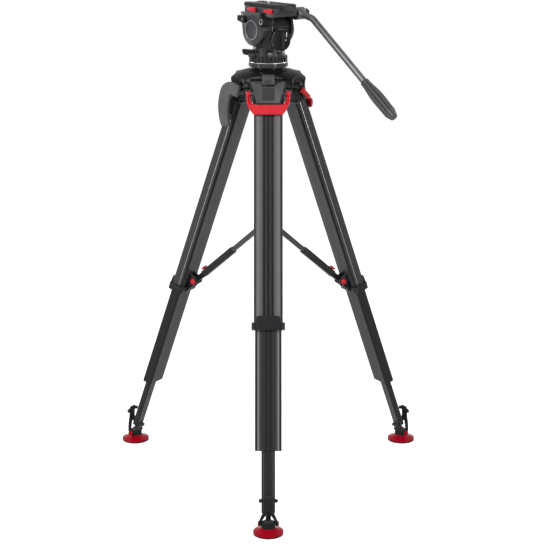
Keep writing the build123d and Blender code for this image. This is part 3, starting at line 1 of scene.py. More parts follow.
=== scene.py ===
"""Dress of a video tripod: finishes for its solids and the fine pieces that go on them.

Named sizes are millimetres and degrees unless they say metres. +Z is up and the front leg points to
-Y. A leg's frame has its hinge at the origin, -Y outward and +X across, and is leaned to its place.
The head's frame lies in the bowl's rim plane, with +Y along the lens.
"""

import json
import logging
import math
from dataclasses import dataclass, field
from enum import Enum

import bpy
from mathutils import Matrix, Vector

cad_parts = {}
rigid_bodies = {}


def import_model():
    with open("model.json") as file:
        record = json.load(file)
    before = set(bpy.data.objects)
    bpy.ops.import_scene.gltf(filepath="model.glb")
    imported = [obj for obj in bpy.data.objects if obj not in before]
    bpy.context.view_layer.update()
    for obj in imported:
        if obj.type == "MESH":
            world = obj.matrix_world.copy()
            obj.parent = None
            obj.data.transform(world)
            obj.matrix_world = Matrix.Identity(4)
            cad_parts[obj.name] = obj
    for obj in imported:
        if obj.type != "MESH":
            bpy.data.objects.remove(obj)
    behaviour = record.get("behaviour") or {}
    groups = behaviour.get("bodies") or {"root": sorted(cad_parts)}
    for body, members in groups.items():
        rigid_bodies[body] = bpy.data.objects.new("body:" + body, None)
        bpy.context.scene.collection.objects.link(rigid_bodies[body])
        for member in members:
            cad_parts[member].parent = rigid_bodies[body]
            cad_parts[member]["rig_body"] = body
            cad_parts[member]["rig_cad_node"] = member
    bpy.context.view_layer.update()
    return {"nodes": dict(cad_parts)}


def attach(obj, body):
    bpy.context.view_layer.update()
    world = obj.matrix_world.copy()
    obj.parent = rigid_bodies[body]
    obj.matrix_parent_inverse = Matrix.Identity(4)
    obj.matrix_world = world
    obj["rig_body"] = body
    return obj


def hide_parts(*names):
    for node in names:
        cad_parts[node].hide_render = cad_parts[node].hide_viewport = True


LOG = logging.getLogger("tripod")
MM = 0.001
HANDS = (-1, 1)

Span = tuple[float, float]
Vec3 = tuple[float, float, float]
Profile = tuple[Span, ...]
Piece = bpy.types.Object
Material = bpy.types.Material
Socket = bpy.types.NodeSocket

# Limits of the modelling steps, in millimetres and degrees
WELD_MM = 0.001
CAD_WELD_MM = 0.002
FLAT_ANGLE = 0.6
SHARP_ANGLE = 30.0
SMOOTH_ANGLE = 35.0
SOFT_SMOOTH_ANGLE = 40.0
MELT_FACTOR = 0.5

# The span that holds most of a noise's values, and the share of a grain's slope that shows
NOISE_SPAN = (0.3, 0.7)
GRAIN_SLOPE = 0.35

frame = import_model()


def shift(x: float, y: float, z: float) -> Matrix:
    """A move by millimetres."""
    return Matrix.Translation((x * MM, y * MM, z * MM))


def turn(angle: float, axis: str) -> Matrix:
    """A turn by degrees about an axis."""
    return Matrix.Rotation(math.radians(angle), 4, axis)


class Side(Enum):
    """The three legs and their angles about the tripod's axis, in degrees."""

    FRONT = 0.0
    RIGHT = 120.0
    LEFT = -120.0

    @property
    def word(self) -> str:
        """The leg's word in node and body names."""
        return self.name.lower()


@dataclass(frozen=True)
class Stance:
    """Where the tripod's frames stand."""

    rim_z: float = 967.0
    hinge_z: float = 930.0
    hinge_r: float = 54.0
    spread: float = 20.0
    foot_r: float = 386.994
    pan: float = 38.0
    grip_at: Vec3 = (46.0, -276.49, -10.77)
    grip_drop: float = 34.5

    @property
    def axis_y(self) -> float:
        """How far the axis lies behind the middle of the box round the three feet."""
        return self.foot_r / 4

    def about_axis(self, side: Side) -> Matrix:
        """A turn about the tripod's axis, from the front leg to this one."""
        return shift(0, self.axis_y, 0) @ turn(side.value, "Z")

    def leg(self, side: Side) -> Matrix:
        """Frame of a leg: hinge at the origin, -Y outward, leaned by the spread."""
        return self.about_axis(side) @ shift(0, -self.hinge_r, self.hinge_z) @ turn(-self.spread, "X")

    def foot(self, side: Side) -> Matrix:
        """Frame of a foot: on the floor under the ankle, -Y outward."""
        return self.about_axis(side) @ shift(0, -self.foot_r, 0)

    def head(self) -> Matrix:
        """Frame of the head: bowl's rim plane on the axis, +Y along the lens."""
        return shift(0, self.axis_y, self.rim_z) @ turn(self.pan, "Z")

    def grip(self) -> Matrix:
        """Frame of the bar's grip: its upper end at the origin, +Z along it, +X through a flute."""
        return self.head() @ shift(*self.grip_at) @ turn(90 + self.grip_drop, "X")


STANCE = Stance()


class Graph:
    """The nodes of one material, read in object space or in one of the tripod's frames."""

    def __init__(self, name: str, place: Matrix | None = None) -> None:
        """Start a material with a shader and a placed coordinate.

        Args:
            name: The material's name.
            place: Frame that its pattern is drawn in, or None for the object's own space.
        """
        self.material = bpy.data.materials.new(name)
        self.material.use_nodes = True
        self.tree = self.material.node_tree
        self.tree.nodes.clear()
        self.shader = self.add("ShaderNodeBsdfPrincipled")
        out = self.add("ShaderNodeOutputMaterial")
        self.tree.links.new(self.shader.outputs["BSDF"], out.inputs["Surface"])
        mapping = self.add("ShaderNodeMapping")
        self.tree.links.new(self.add("ShaderNodeTexCoord").outputs["Object"], mapping.inputs["Vector"])
        if place is not None:
            back = place.inverted()
            mapping.inputs["Location"].default_value = back.to_translation()
            mapping.inputs["Rotation"].default_value = back.to_euler("XYZ")
        self.spot = mapping.outputs["Vector"]

    def add(self, kind: str) -> bpy.types.Node:
        """Add a node of this kind."""
        return self.tree.nodes.new(kind)

    def feed(self, socket: Socket, value: object) -> None:
        """Link an input to an output, or set its value.

        Args:
            socket: The input.
            value: The output, or a plain value.
        """
        if isinstance(value, Socket):
            self.tree.links.new(value, socket)
        else:
            socket.default_value = value

    def surface(self, inputs: dict[str, object]) -> None:
        """Feed the shader's inputs by their names."""
        for word, value in inputs.items():
            self.feed(self.shader.inputs[word], value)

    def noise(self, size_mm: float, detail: float = 3.0) -> Socket:
        """Noise whose grains are about this size.

        Args:
            size_mm: Size of a grain.
            detail: Levels of finer grain.

        Returns:
            The noise's height.
        """
        texture = self.add("ShaderNodeTexNoise")
        self.feed(texture.inputs["Vector"], self.spot)
        texture.inputs["Scale"].default_value = 1.0 / (size_mm * MM)
        texture.inputs["Detail"].default_value = detail
        return texture.outputs["Fac"]

    def span(self, value: object, source: Span, target: Span = (0.0, 1.0)) -> Socket:
        """Map a value from one span to another, clamped.

        Args:
            value: What to map.
            source: The span it comes from.
            target: What that span's ends become.

        Returns:
            The mapped value.
        """
        node = self.add("ShaderNodeMapRange")
        self.feed(node.inputs["Value"], value)
        for word, number in zip(("From Min", "From Max", "To Min", "To Max"), source + target):
            node.inputs[word].default_value = number
        return node.outputs["Result"]

    def calc(self, kind: str, first: object, second: object = 0.0) -> Socket:
        """Work out one step of arithmetic.

        Args:
            kind: The step, such as MULTIPLY.
            first: Its first value.
            second: Its second value, where it has one.

        Returns:
            The outcome.
        """
        node = self.add("ShaderNodeMath")
        node.operation = kind
        self.feed(node.inputs[0], first)
        self.feed(node.inputs[1], second)
        return node.outputs["Value"]

    def mix(self, share: object, first: object, second: object, blend: str = "MIX") -> Socket:
        """Mix two colours.

        Args:
            share: Share of the second colour, from 0 to 1.
            first: The first colour.
            second: The second colour.
            blend: How they are blended.

        Returns:
            The mixed colour.
        """
        node = self.add("ShaderNodeMix")
        node.data_type = "RGBA"
        node.blend_type = blend
        self.feed(node.inputs["Factor"], share)
        self.feed(node.inputs["A"], first)
        self.feed(node.inputs["B"], second)
        return node.outputs["Result"]

    def ramp(self, value: Socket, stops: Profile) -> Socket:
        """A grey level that follows a value through stops.

        Args:
            value: What the level follows, from 0 to 1.
            stops: Value and grey level of each stop.

        Returns:
            The level.
        """
        node = self.add("ShaderNodeValToRGB")
        self.feed(node.inputs["Fac"], value)
        band = node.color_ramp
        while len(band.elements) < len(stops):
            band.elements.new(1.0)
        for element, (spot, level) in zip(band.elements, stops):
            element.position = spot
            element.color = (level, level, level, 1.0)
        return node.outputs["Color"]

    def parts(self) -> tuple[Socket, Socket, Socket]:
        """Split the placed coordinate.

        Returns:
            Its x, y and z.
        """
        node = self.add("ShaderNodeSeparateXYZ")
        self.feed(node.inputs["Vector"], self.spot)
        return node.outputs["X"], node.outputs["Y"], node.outputs["Z"]

    def bump(self, height: Socket, depth_mm: float, slope: float) -> None:
        """Raise the surface by a height map.

        Args:
            height: The map, from 0 to 1.
            depth_mm: How far its full height stands.
            slope: Share of the slope that shows.
        """
        node = self.add("ShaderNodeBump")
        node.inputs["Distance"].default_value = depth_mm * MM
        node.inputs["Strength"].default_value = slope
        self.feed(node.inputs["Height"], height)
        self.feed(self.shader.inputs["Normal"], node.outputs["Normal"])


def shade(colour: Vec3, factor: float) -> tuple[float, float, float, float]:
    """A colour made lighter or darker by a factor, with full alpha."""
    return (*(min(1.0, channel * factor) for channel in colour), 1.0)


@dataclass(frozen=True)
class Moulded:
    """A cast, moulded or anodised surface with a fine grain and paler edges, partly wear and partly painted
    highlight.

    Where set, it has painted shade in its hollows and painted shadow along the grip's grooves. The
    spans of edges and hollows are of the mesh's pointiness, and that of the grooves is of the cosine
    of the angle round the grip.
    """

    colour: Vec3
    vary: float = 0.12
    roughness: float = 0.45
    rough_vary: float = 0.08
    grain_mm: float = 0.5
    depth_mm: float = 0.05
    metallic: float = 0.0
    gloss: float = 0.25
    worn: float = 0.25
    sunk: float = 0.0
    flutes: int = 0
    cloud_mm: float = 18.0
    edge_span: Span = (0.52, 0.62)
    edge_lift: float = 0.05
    edge_gain: float = 1.6
    hollow_span: Span = (0.42, 0.49)
    hollow_gain: float = 0.15
    flute_span: Span = (0.2, 0.9)
    flute_share: float = 0.9
    flute_gain: float = 0.1

    def make(self, name: str, place: Matrix | None = None) -> Material:
        """Make the material.

        Args:
            name: The material's name.
            place: Frame that its painted shadows along the grip's grooves are drawn in.

        Returns:
            The material.
        """
        graph = Graph(name, place)
        cloud = graph.noise(self.cloud_mm, detail=4.0)
        grain = graph.noise(self.grain_mm, detail=2.0)
        low, high = shade(self.colour, 1 - self.vary), shade(self.colour, 1 + self.vary)
        base = graph.mix(graph.span(cloud, NOISE_SPAN), low, high)
        half = self.rough_vary / 2
        rough = graph.calc("ADD", graph.span(cloud, NOISE_SPAN, (0.0, self.rough_vary)), self.roughness)
        rough = graph.calc("ADD", rough, graph.span(grain, NOISE_SPAN, (-half, half)))
        graph.surface({
            "Base Color": self.marked(graph, base),
            "Roughness": rough,
            "Metallic": self.metallic,
            "Specular IOR Level": self.gloss,
        })
        graph.bump(grain, self.depth_mm, GRAIN_SLOPE)
        return graph.material

    def marked(self, graph: Graph, base: Socket) -> Socket:
        """Pale the edges as wear and painted highlight, and paint shade in the hollows and shadow in each
        groove.

        Args:
            graph: The material's nodes.
            base: The colour without them.

        Returns:
            The colour with them.
        """
        point = graph.add("ShaderNodeNewGeometry").outputs["Pointiness"]
        # Paler edges: partly wear, partly a painted highlight.
        if self.worn > 0:
            edge = graph.span(point, self.edge_span, (0.0, self.worn))
            lifted = tuple(channel + self.edge_lift for channel in self.colour)
            base = graph.mix(edge, base, shade(lifted, self.edge_gain))
        # Painted shade darkening the hollows.
        if self.sunk > 0:
            hollow = graph.span(point, self.hollow_span, (self.sunk, 0.0))
            base = graph.mix(hollow, base, shade(self.colour, self.hollow_gain))
        # Painted shadow along each of the grip's grooves.
        if self.flutes > 0:
            across, out, _ = graph.parts()
            angle = graph.calc("MULTIPLY", graph.calc("ARCTAN2", out, across), float(self.flutes))
            flute = graph.span(graph.calc("COSINE", angle), self.flute_span, (0.0, self.flute_share))
            base = graph.mix(flute, base, shade(self.colour, self.flute_gain))
        return base


@dataclass(frozen=True)
class WovenTube:
    """Clear-coated twill of a leg tube, drawn in the leg's own frame.

    The outer face has a level across its half width, from the middle to the edge, and so has the
    inner face: these levels are painted highlights on the flanks and painted shade in the grooves and along
    the edges.
    """

    half_mm: float
    face_mm: float
    outer: Profile
    inner: Profile
    dark: Vec3 = (0.05, 0.051, 0.054)
    light: Vec3 = (0.46, 0.463, 0.468)
    tow_mm: float = 2.0
    fleck_mm: float = 1.2
    weave_gain: float = 0.6
    fade_mm: float = 1.0
    roughness: Span = (0.36, 0.5)
    gloss: float = 0.12
    depth_mm: float = 0.06
    slope: float = 0.3

    def make(self, name: str, place: Matrix | None = None) -> Material:
        """Make the material.

        Args:
            name: The material's name.
            place: The leg's frame.

        Returns:
            The material.
        """
        graph = Graph(name, place)
        across, out, along = graph.parts()
        side = graph.calc("ADD", across, out)
        threads = []
        for way in ("ADD", "SUBTRACT"):
            phase = graph.calc("MULTIPLY", graph.calc(way, side, along), math.pi / (self.tow_mm * MM))
            threads.append(graph.span(graph.calc("SINE", phase), (-1.0, 1.0)))
        weave = graph.calc("MULTIPLY", *threads)
        fleck = graph.noise(self.fleck_mm)
        share = graph.calc("MULTIPLY", graph.calc("ADD", weave, fleck), self.weave_gain)
        base = graph.mix(share, shade(self.dark, 1.0), shade(self.light, 1.0))
        # Painted light: bands of painted highlight and painted shade across each face, from the outer and
        # inner levels.
        half = graph.calc("DIVIDE", graph.calc("ABSOLUTE", across), self.half_mm * MM)
        front = graph.span(out, (-self.face_mm * MM, (self.fade_mm - self.face_mm) * MM), (1.0, 0.0))
        level = graph.mix(front, graph.ramp(half, self.inner), graph.ramp(half, self.outer))
        graph.surface({
            "Base Color": graph.mix(1.0, base, level, "MULTIPLY"),
            "Roughness": graph.span(fleck, NOISE_SPAN, self.roughness),
            "Specular IOR Level": self.gloss,
        })
        graph.bump(weave, self.depth_mm, self.slope)
        return graph.material


@dataclass(frozen=True)
class FootFinish:
    """Red moulded foot plate and pin caps, with a black sole and a black cup."""

    red: Vec3 = (0.25, 0.0015, 0.009)
    red_vary: Span = (0.92, 1.08)
    black: Vec3 = (0.014, 0.014, 0.014)
    black_vary: Span = (0.85, 1.25)
    sole_mm: float = 2.6
    cup_mm: float = 15.0
    cap_mm: float = 20.95
    cloud_mm: float = 9.0
    grain_mm: float = 0.8
    depth_mm: float = 0.06
    roughness: Span = (0.65, 0.24)
    gloss: float = 0.06

    def make(self, name: str, place: Matrix | None = None) -> Material:
        """Make the material.

        Args:
            name: The material's name.
            place: The foot's frame.

        Returns:
            The material.
        """
        graph = Graph(name, place)
        across, _, height = graph.parts()
        above = graph.calc("GREATER_THAN", height, self.sole_mm * MM)
        below = graph.calc("LESS_THAN", height, self.cup_mm * MM)
        caps = graph.calc("GREATER_THAN", graph.calc("ABSOLUTE", across), self.cap_mm * MM)
        plate = graph.calc("MULTIPLY", above, graph.calc("MAXIMUM", below, caps))
        cloud = graph.noise(self.cloud_mm)
        red = graph.mix(cloud, *(shade(self.red, factor) for factor in self.red_vary))
        black = graph.mix(cloud, *(shade(self.black, factor) for factor in self.black_vary))
        graph.surface({
            "Base Color": graph.mix(plate, black, red),
            "Roughness": graph.span(plate, (0.0, 1.0), self.roughness),
            "Specular IOR Level": self.gloss,
        })
        graph.bump(graph.noise(self.grain_mm, detail=2.0), self.depth_mm, GRAIN_SLOPE)
        return graph.material


@dataclass(frozen=True)
class Clear:
    """Tinted clear plastic of the level's vial."""

    colour: Vec3
    vary: Span = (0.95, 1.05)
    cloud_mm: float = 3.0
    roughness: float = 0.2
    clearness: float = 0.3
    ior: float = 1.45

    def make(self, name: str, place: Matrix | None = None) -> Material:
        """Make the material.

        Args:
            name: The material's name.
            place: Frame that its tint is drawn in.

        Returns:
            The material.
        """
        graph = Graph(name, place)
        tint = graph.mix(graph.noise(self.cloud_mm), *(shade(self.colour, factor) for factor in self.vary))
        graph.surface({
            "Base Color": tint,
            "Roughness": self.roughness,
            "Transmission Weight": self.clearness,
            "IOR": self.ior,
        })
        return graph.material


class Finish(Enum):
    """The tripod's finishes. Each has its material's name and what makes it."""

    # Paler edges set here are partly wear and partly a painted highlight.
    CAST_BLACK = Moulded((0.009, 0.009, 0.0105), roughness=0.3, grain_mm=0.6, gloss=0.07, worn=0.6)
    DRUM_BLACK = Moulded(
        (0.012, 0.0122, 0.0135), roughness=0.26, grain_mm=0.4, depth_mm=0.03, gloss=0.18, worn=0.6
    )
    CROWN_BLACK = Moulded((0.005, 0.005, 0.006), roughness=0.34, grain_mm=0.6, gloss=0.035, worn=0.6)
    RING_BLACK = Moulded(
        (0.004, 0.004, 0.005), roughness=0.12, grain_mm=0.3, depth_mm=0.004, gloss=0.2, worn=0.5
    )
    CATCH_GREY = Moulded((0.04, 0.041, 0.043), roughness=0.34, depth_mm=0.04, gloss=0.12, worn=0.5)
    HEAD_METAL = Moulded(
        (0.032, 0.033, 0.036), roughness=0.28, grain_mm=0.4, depth_mm=0.03, gloss=0.13, worn=0.6
    )
    PANEL_GREY = Moulded((0.018, 0.0185, 0.0195), roughness=0.4, depth_mm=0.04, gloss=0.1, worn=0.5)
    COVER_GREY = Moulded((0.044, 0.045, 0.047), roughness=0.36, depth_mm=0.04, gloss=0.14, worn=0.4)
    MATT_BLACK = Moulded((0.0075, 0.0075, 0.0085), roughness=0.36, gloss=0.06, worn=0.6)
    LEVER_RED = Moulded(
        (0.44, 0.007, 0.016), vary=0.07, roughness=0.36, grain_mm=0.7, depth_mm=0.03, worn=0.1
    )
    RUBBER = Moulded((0.01, 0.01, 0.0105), roughness=0.6, grain_mm=0.9, depth_mm=0.12, gloss=0.07)
    # The grip has painted shade in its hollows and painted shadow along its grooves.
    GRIP_RIBS = Moulded(
        (0.055, 0.056, 0.059), roughness=0.42, grain_mm=0.9, depth_mm=0.08, gloss=0.14, worn=0.3,
        sunk=0.6, flutes=9,
    )
    BAR_BLACK = Moulded(
        (0.085, 0.085, 0.09), roughness=0.4, grain_mm=0.3, depth_mm=0.01, metallic=0.9, gloss=0.2
    )
    BRIGHT_STEEL = Moulded(
        (0.56, 0.56, 0.57), vary=0.06, roughness=0.24, grain_mm=0.3, depth_mm=0.02, metallic=1.0, worn=0.0
    )
    STRIP_GREY = Moulded(
        (0.3, 0.3, 0.31), vary=0.08, roughness=0.32, grain_mm=0.3, depth_mm=0.02, metallic=0.8, worn=0.0
    )
    HANDLE_GREY = Moulded(
        (0.083, 0.084, 0.087), roughness=0.5, grain_mm=0.9, depth_mm=0.1, gloss=0.12, worn=0.3
    )
    PALE_MARK = Moulded((0.8, 0.8, 0.8), vary=0.03, roughness=0.5, worn=0.0)
    RED_FOOT = FootFinish()
    VIAL_GREEN = Clear((0.15, 0.158, 0.14))
    # Each tube's outer and inner levels are painted highlights and painted shade in bands along the tube.
    UPPER_TWILL = WovenTube(
        half_mm=32.0,
        face_mm=13.5,
        outer=(
            (0.0, 0.04), (0.07, 0.04), (0.09, 0.11), (0.2, 0.11), (0.23, 0.04), (0.33, 0.04),
            (0.38, 0.22), (0.5, 0.34), (0.72, 0.52), (0.8, 0.44), (0.84, 0.12), (0.96, 0.14),
        ),
        inner=((0.0, 0.11), (0.6, 0.15), (0.84, 0.17), (0.88, 0.03), (0.95, 0.03), (0.97, 0.16)),
    )
    MIDDLE_TWILL = WovenTube(
        half_mm=29.2,
        face_mm=11.0,
        outer=(
            (0.0, 0.07), (0.1, 0.07), (0.13, 0.02), (0.19, 0.02), (0.22, 0.07), (0.5, 0.09),
            (0.66, 0.19), (0.74, 0.7), (0.8, 0.6), (0.84, 0.04), (1.0, 0.04),
        ),
        inner=((0.0, 0.08), (0.7, 0.1), (0.85, 0.03), (1.0, 0.05)),
    )
    LOWER_TWILL = WovenTube(
        half_mm=15.0,
        face_mm=8.0,
        outer=((0.0, 0.05), (0.6, 0.08), (0.76, 0.2), (0.86, 0.03), (1.0, 0.03)),
        inner=((0.0, 0.11), (0.7, 0.13), (0.85, 0.04), (1.0, 0.07)),
    )


# The finish of each leg's solids, named without the leg
LEG_DRESS = {
    "upper_tube": Finish.UPPER_TWILL,
    "middle_tube": Finish.MIDDLE_TWILL,
    "lower_tube": Finish.LOWER_TWILL,
    "leg_head": Finish.COVER_GREY,
    "leg_collar": Finish.CAST_BLACK,
    "brake_lever": Finish.LEVER_RED,
    "angle_catch": Finish.CATCH_GREY,
    "foot_pad": Finish.RED_FOOT,
    "foot_strap": Finish.RUBBER,
    "release_knob": Finish.LEVER_RED,
    "spreader_arm": Finish.CAST_BLACK,
    "spreader_sleeve": Finish.CAST_BLACK,
    "length_button": Finish.LEVER_RED,
}

# The finish of the crown's, the spreader's and the head's solids
HEAD_DRESS = {
    "spider": Finish.CROWN_BLACK,
    "hinge_pins": Finish.MATT_BLACK,
    "spreader_hub": Finish.CAST_BLACK,
    "carry_handle": Finish.HANDLE_GREY,
    "ball_base": Finish.RING_BLACK,
    "clamp_knob": Finish.MATT_BLACK,
    "drag_ring": Finish.CAST_BLACK,
    "pan_body": Finish.DRUM_BLACK,
    "bubble_level": Finish.VIAL_GREEN,
    "balance_dial": Finish.MATT_BLACK,
    "pan_brake": Finish.CAST_BLACK,
    "tilt_table": Finish.HEAD_METAL,
    "tilt_brake": Finish.CAST_BLACK,
    "tilt_drag_knob": Finish.MATT_BLACK,
    "camera_plate": Finish.MATT_BLACK,
    "plate_screw": Finish.BRIGHT_STEEL,
    "plate_lock": Finish.LEVER_RED,
    "plate_release": Finish.LEVER_RED,
    "pan_bar": Finish.BAR_BLACK,
    "bar_clamp": Finish.CAST_BLACK,
    "grip": Finish.GRIP_RIBS,
}


class Bench:
    """Modelling steps that the pieces share, each done with Blender's own operators."""

    @staticmethod
    def pick(piece: Piece) -> None:
        """Make a piece the only one selected, and the active one.

        Args:
            piece: The piece.
        """
        bpy.ops.object.select_all(action="DESELECT")
        piece.select_set(True)
        bpy.context.view_layer.objects.active = piece

    @staticmethod
    def apply(piece: Piece, kind: str, **settings: object) -> None:
        """Add a modifier with these settings and apply it.

        Args:
            piece: The piece to change.
            kind: The modifier's type, such as BEVEL.
            **settings: Its properties.
        """
        Bench.pick(piece)
        modifier = piece.modifiers.new(kind.lower(), kind)
        for word, value in settings.items():
            setattr(modifier, word, value)
        bpy.ops.object.modifier_apply(modifier=modifier.name)

    @staticmethod
    def settle(piece: Piece, place: Matrix) -> Piece:
        """Put a piece in its place and move the place into its mesh.

        Args:
            piece: The piece, modelled in its own frame.
            place: That frame.

        Returns:
            The same piece, at the origin.
        """
        Bench.pick(piece)
        piece.matrix_world = place
        bpy.ops.object.transform_apply(location=True, rotation=True, scale=True)
        return piece

    @staticmethod
    def clean(piece: Piece) -> Piece:
        """Turn a closed piece's faces outward and smooth it, but not across sharp edges.

        Args:
            piece: The piece.

        Returns:
            The same piece.
        """
        Bench.pick(piece)
        bpy.ops.object.mode_set(mode="EDIT")
        bpy.ops.mesh.select_all(action="SELECT")
        bpy.ops.mesh.remove_doubles(threshold=WELD_MM * MM)
        bpy.ops.mesh.normals_make_consistent(inside=False)
        bpy.ops.object.mode_set(mode="OBJECT")
        bpy.ops.object.shade_smooth_by_angle(angle=math.radians(SMOOTH_ANGLE))
        return piece

    @staticmethod
    def turned(name: str, profile: Profile, vertices: int = 96) -> Piece:
        """Turn a closed round piece about +Z by extruding a disc and resizing each new ring.

        Args:
            name: The piece's name.
            profile: Radius and height of each ring, in millimetres.
            vertices: Points round a ring.

        Returns:
            The piece, standing at the origin.
        """
        bpy.ops.object.select_all(action="DESELECT")
        radius, height = profile[0]
        bpy.ops.mesh.primitive_circle_add(
            vertices=vertices, radius=radius * MM, fill_type="NGON", location=(0, 0, height * MM)
        )
        piece = bpy.context.active_object
        piece.name = name
        bpy.ops.object.mode_set(mode="EDIT")
        bpy.ops.mesh.select_all(action="SELECT")
        for wide, high in profile[1:]:
            bpy.ops.mesh.extrude_region_move(TRANSFORM_OT_translate={"value": (0, 0, (high - height) * MM)})
            grow = wide / radius
            bpy.ops.transform.resize(value=(grow, grow, 1.0), center_override=(0, 0, high * MM))
            radius, height = wide, high
        bpy.ops.object.mode_set(mode="OBJECT")
        return Bench.clean(Bench.settle(piece, piece.matrix_world.copy()))

    @staticmethod
    def block(name: str, size: Vec3, edge: float, steps: int = 3) -> Piece:
        """A block with rounded edges.

        Args:
            name: The piece's name.
            size: Its length along each axis, in millimetres.
            edge: Radius of its edges, in millimetres.
            steps: Facets round an edge.

        Returns:
            The piece, with its middle at the origin.
        """
        bpy.ops.object.select_all(action="DESELECT")
        bpy.ops.mesh.primitive_cube_add(size=MM, scale=size)
        piece = bpy.context.active_object
        piece.name = name
        bpy.ops.object.transform_apply(location=True, rotation=True, scale=True)
        Bench.apply(piece, "BEVEL", width=edge * MM, segments=steps, limit_method="NONE")
        return Bench.clean(piece)

    @staticmethod
    def cut(piece: Piece, cutter: Piece) -> Piece:
        """Cut one piece out of another and delete the cutter.

        Args:
            piece: The piece to cut.
            cutter: The piece to cut out.

        Returns:
            The cut piece.
        """
        Bench.apply(piece, "BOOLEAN", operation="DIFFERENCE", object=cutter, solver="EXACT")
        bpy.data.objects.remove(cutter)
        return piece

    @staticmethod
    def twin(piece: Piece, name: str) -> Piece:
        """A copy of a piece with a mesh of its own.

        Args:
            piece: The piece.
            name: The copy's name.

        Returns:
            The copy.
        """
        copy = piece.copy()
        copy.data = piece.data.copy()
        copy.name = name
        bpy.context.scene.collection.objects.link(copy)
        return copy

    @staticmethod
    def pair(piece: Piece, places: list[Matrix]) -> list[Piece]:
        """Copy a piece and settle it and its copy in two places.

        Args:
            piece: The piece, modelled in its own frame.
            places: The two frames.

        Returns:
            The piece and its copy.
        """
        both = [piece, Bench.twin(piece, piece.name)]
        return [Bench.settle(one, place) for one, place in zip(both, places)]

    @staticmethod
    def join(name: str, pieces: list[Piece]) -> Piece:
        """Join pieces of one finish into one.

        Args:
            name: The joined piece's name.
            pieces: The pieces.

        Returns:
            The joined piece.
        """
        Bench.pick(pieces[0])
        for piece in pieces:
            piece.select_set(True)
        bpy.ops.object.join()
        pieces[0].name = name
        return pieces[0]

    @staticmethod
    def melted(piece: Piece, grain: float, rounds: int) -> Piece:
        """Fuse joined lumps into one moulded form with rounded corners.

        Args:
            piece: The piece.
            grain: The size of the new mesh's cells, in millimetres.
            rounds: How often it is smoothed.

        Returns:
            The same piece.
        """
        Bench.apply(piece, "REMESH", mode="VOXEL", voxel_size=grain * MM, use_smooth_shade=True)
        Bench.apply(piece, "SMOOTH", factor=MELT_FACTOR, iterations=rounds)
        return piece

    @staticmethod
    def softened(node: str, name: str, width: float, steps: int = 2) -> Piece:
        """A copy of a solid with its sharp edges rounded.

        Args:
            node: The solid's name.
            name: The copy's name.
            width: Radius of the edges, in millimetres.
            steps: Facets round an edge.

        Returns:
            The copy.
        """
        piece = Bench.twin(frame["nodes"][node], name)
        piece.parent = None
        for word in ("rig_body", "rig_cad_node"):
            if word in piece:
                del piece[word]
        Bench.pick(piece)
        bpy.ops.object.mode_set(mode="EDIT")
        bpy.ops.mesh.select_all(action="SELECT")
        bpy.ops.mesh.remove_doubles(threshold=CAD_WELD_MM * MM)
        bpy.ops.mesh.dissolve_limited(angle_limit=math.radians(FLAT_ANGLE))
        bpy.ops.object.mode_set(mode="OBJECT")
        Bench.apply(
            piece, "BEVEL", width=width * MM, segments=steps,
            limit_method="ANGLE", angle_limit=math.radians(SHARP_ANGLE), use_clamp_overlap=True,
        )
        bpy.ops.object.shade_smooth_by_angle(angle=math.radians(SOFT_SMOOTH_ANGLE))
        return piece


def dress(piece: Piece, material: Material) -> None:
    """Give a piece one material all over."""
    piece.data.materials.clear()
    piece.data.materials.append(material)


def fix(piece: Piece, body: str, material: Material, stands_for: str = "") -> None:
    """Dress a finished piece and set it to ride on its body.

    Args:
        piece: The piece, in its place.
        body: The body it moves with.
        material: Its finish.
        stands_for: The solid it replaces, if any.
    """
    dress(piece, material)
    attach(piece, body)
    if stands_for:
        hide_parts(stands_for)
    LOG.info("piece %s on %s", piece.name, body)


@dataclass
class Wardrobe:
    """Every material, made once for each frame that it is drawn in."""

    made: dict[str, Material] = field(default_factory=dict)

    def get(self, finish: Finish, place: Matrix | None = None, word: str = "") -> Material:
        """The material of a finish, made on first use.

        Args:
            finish: The finish.
            place: Frame that its pattern is drawn in.
            word: The leg's word, where each leg has its own.

        Returns:
            The material.
        """
        name = f"{finish.name.lower()}_{word}" if word else finish.name.lower()
        if name not in self.made:
            self.made[name] = finish.value.make(name, place)
        return self.made[name]

    def for_leg(self, node: str, side: Side) -> Material:
        """The material of one of a leg's solids, with its pattern in the leg's or foot's frame.

        Args:
            node: The solid's name without the leg.
            side: The leg.

        Returns:
            The material.
        """
        finish = LEG_DRESS[node]
        if isinstance(finish.value, WovenTube):
            return self.get(finish, STANCE.leg(side), side.word)
        if isinstance(finish.value, FootFinish):
            return self.get(finish, STANCE.foot(side), side.word)
        return self.get(finish)

    def for_head(self, node: str) -> Material:
        """The material of one of the other solids, with the grip's painted groove shadows in the grip's
        frame.
        """
        return self.get(HEAD_DRESS[node], STANCE.grip() if node == "grip" else None)

    def dress_solids(self) -> None:
        """Dress every solid of the frame."""
        for side in Side:
            for node in LEG_DRESS:
                dress(frame["nodes"][f"{node}_{side.word}"], self.for_leg(node, side))
        for node in HEAD_DRESS:
            dress(frame["nodes"][node], self.for_head(node))


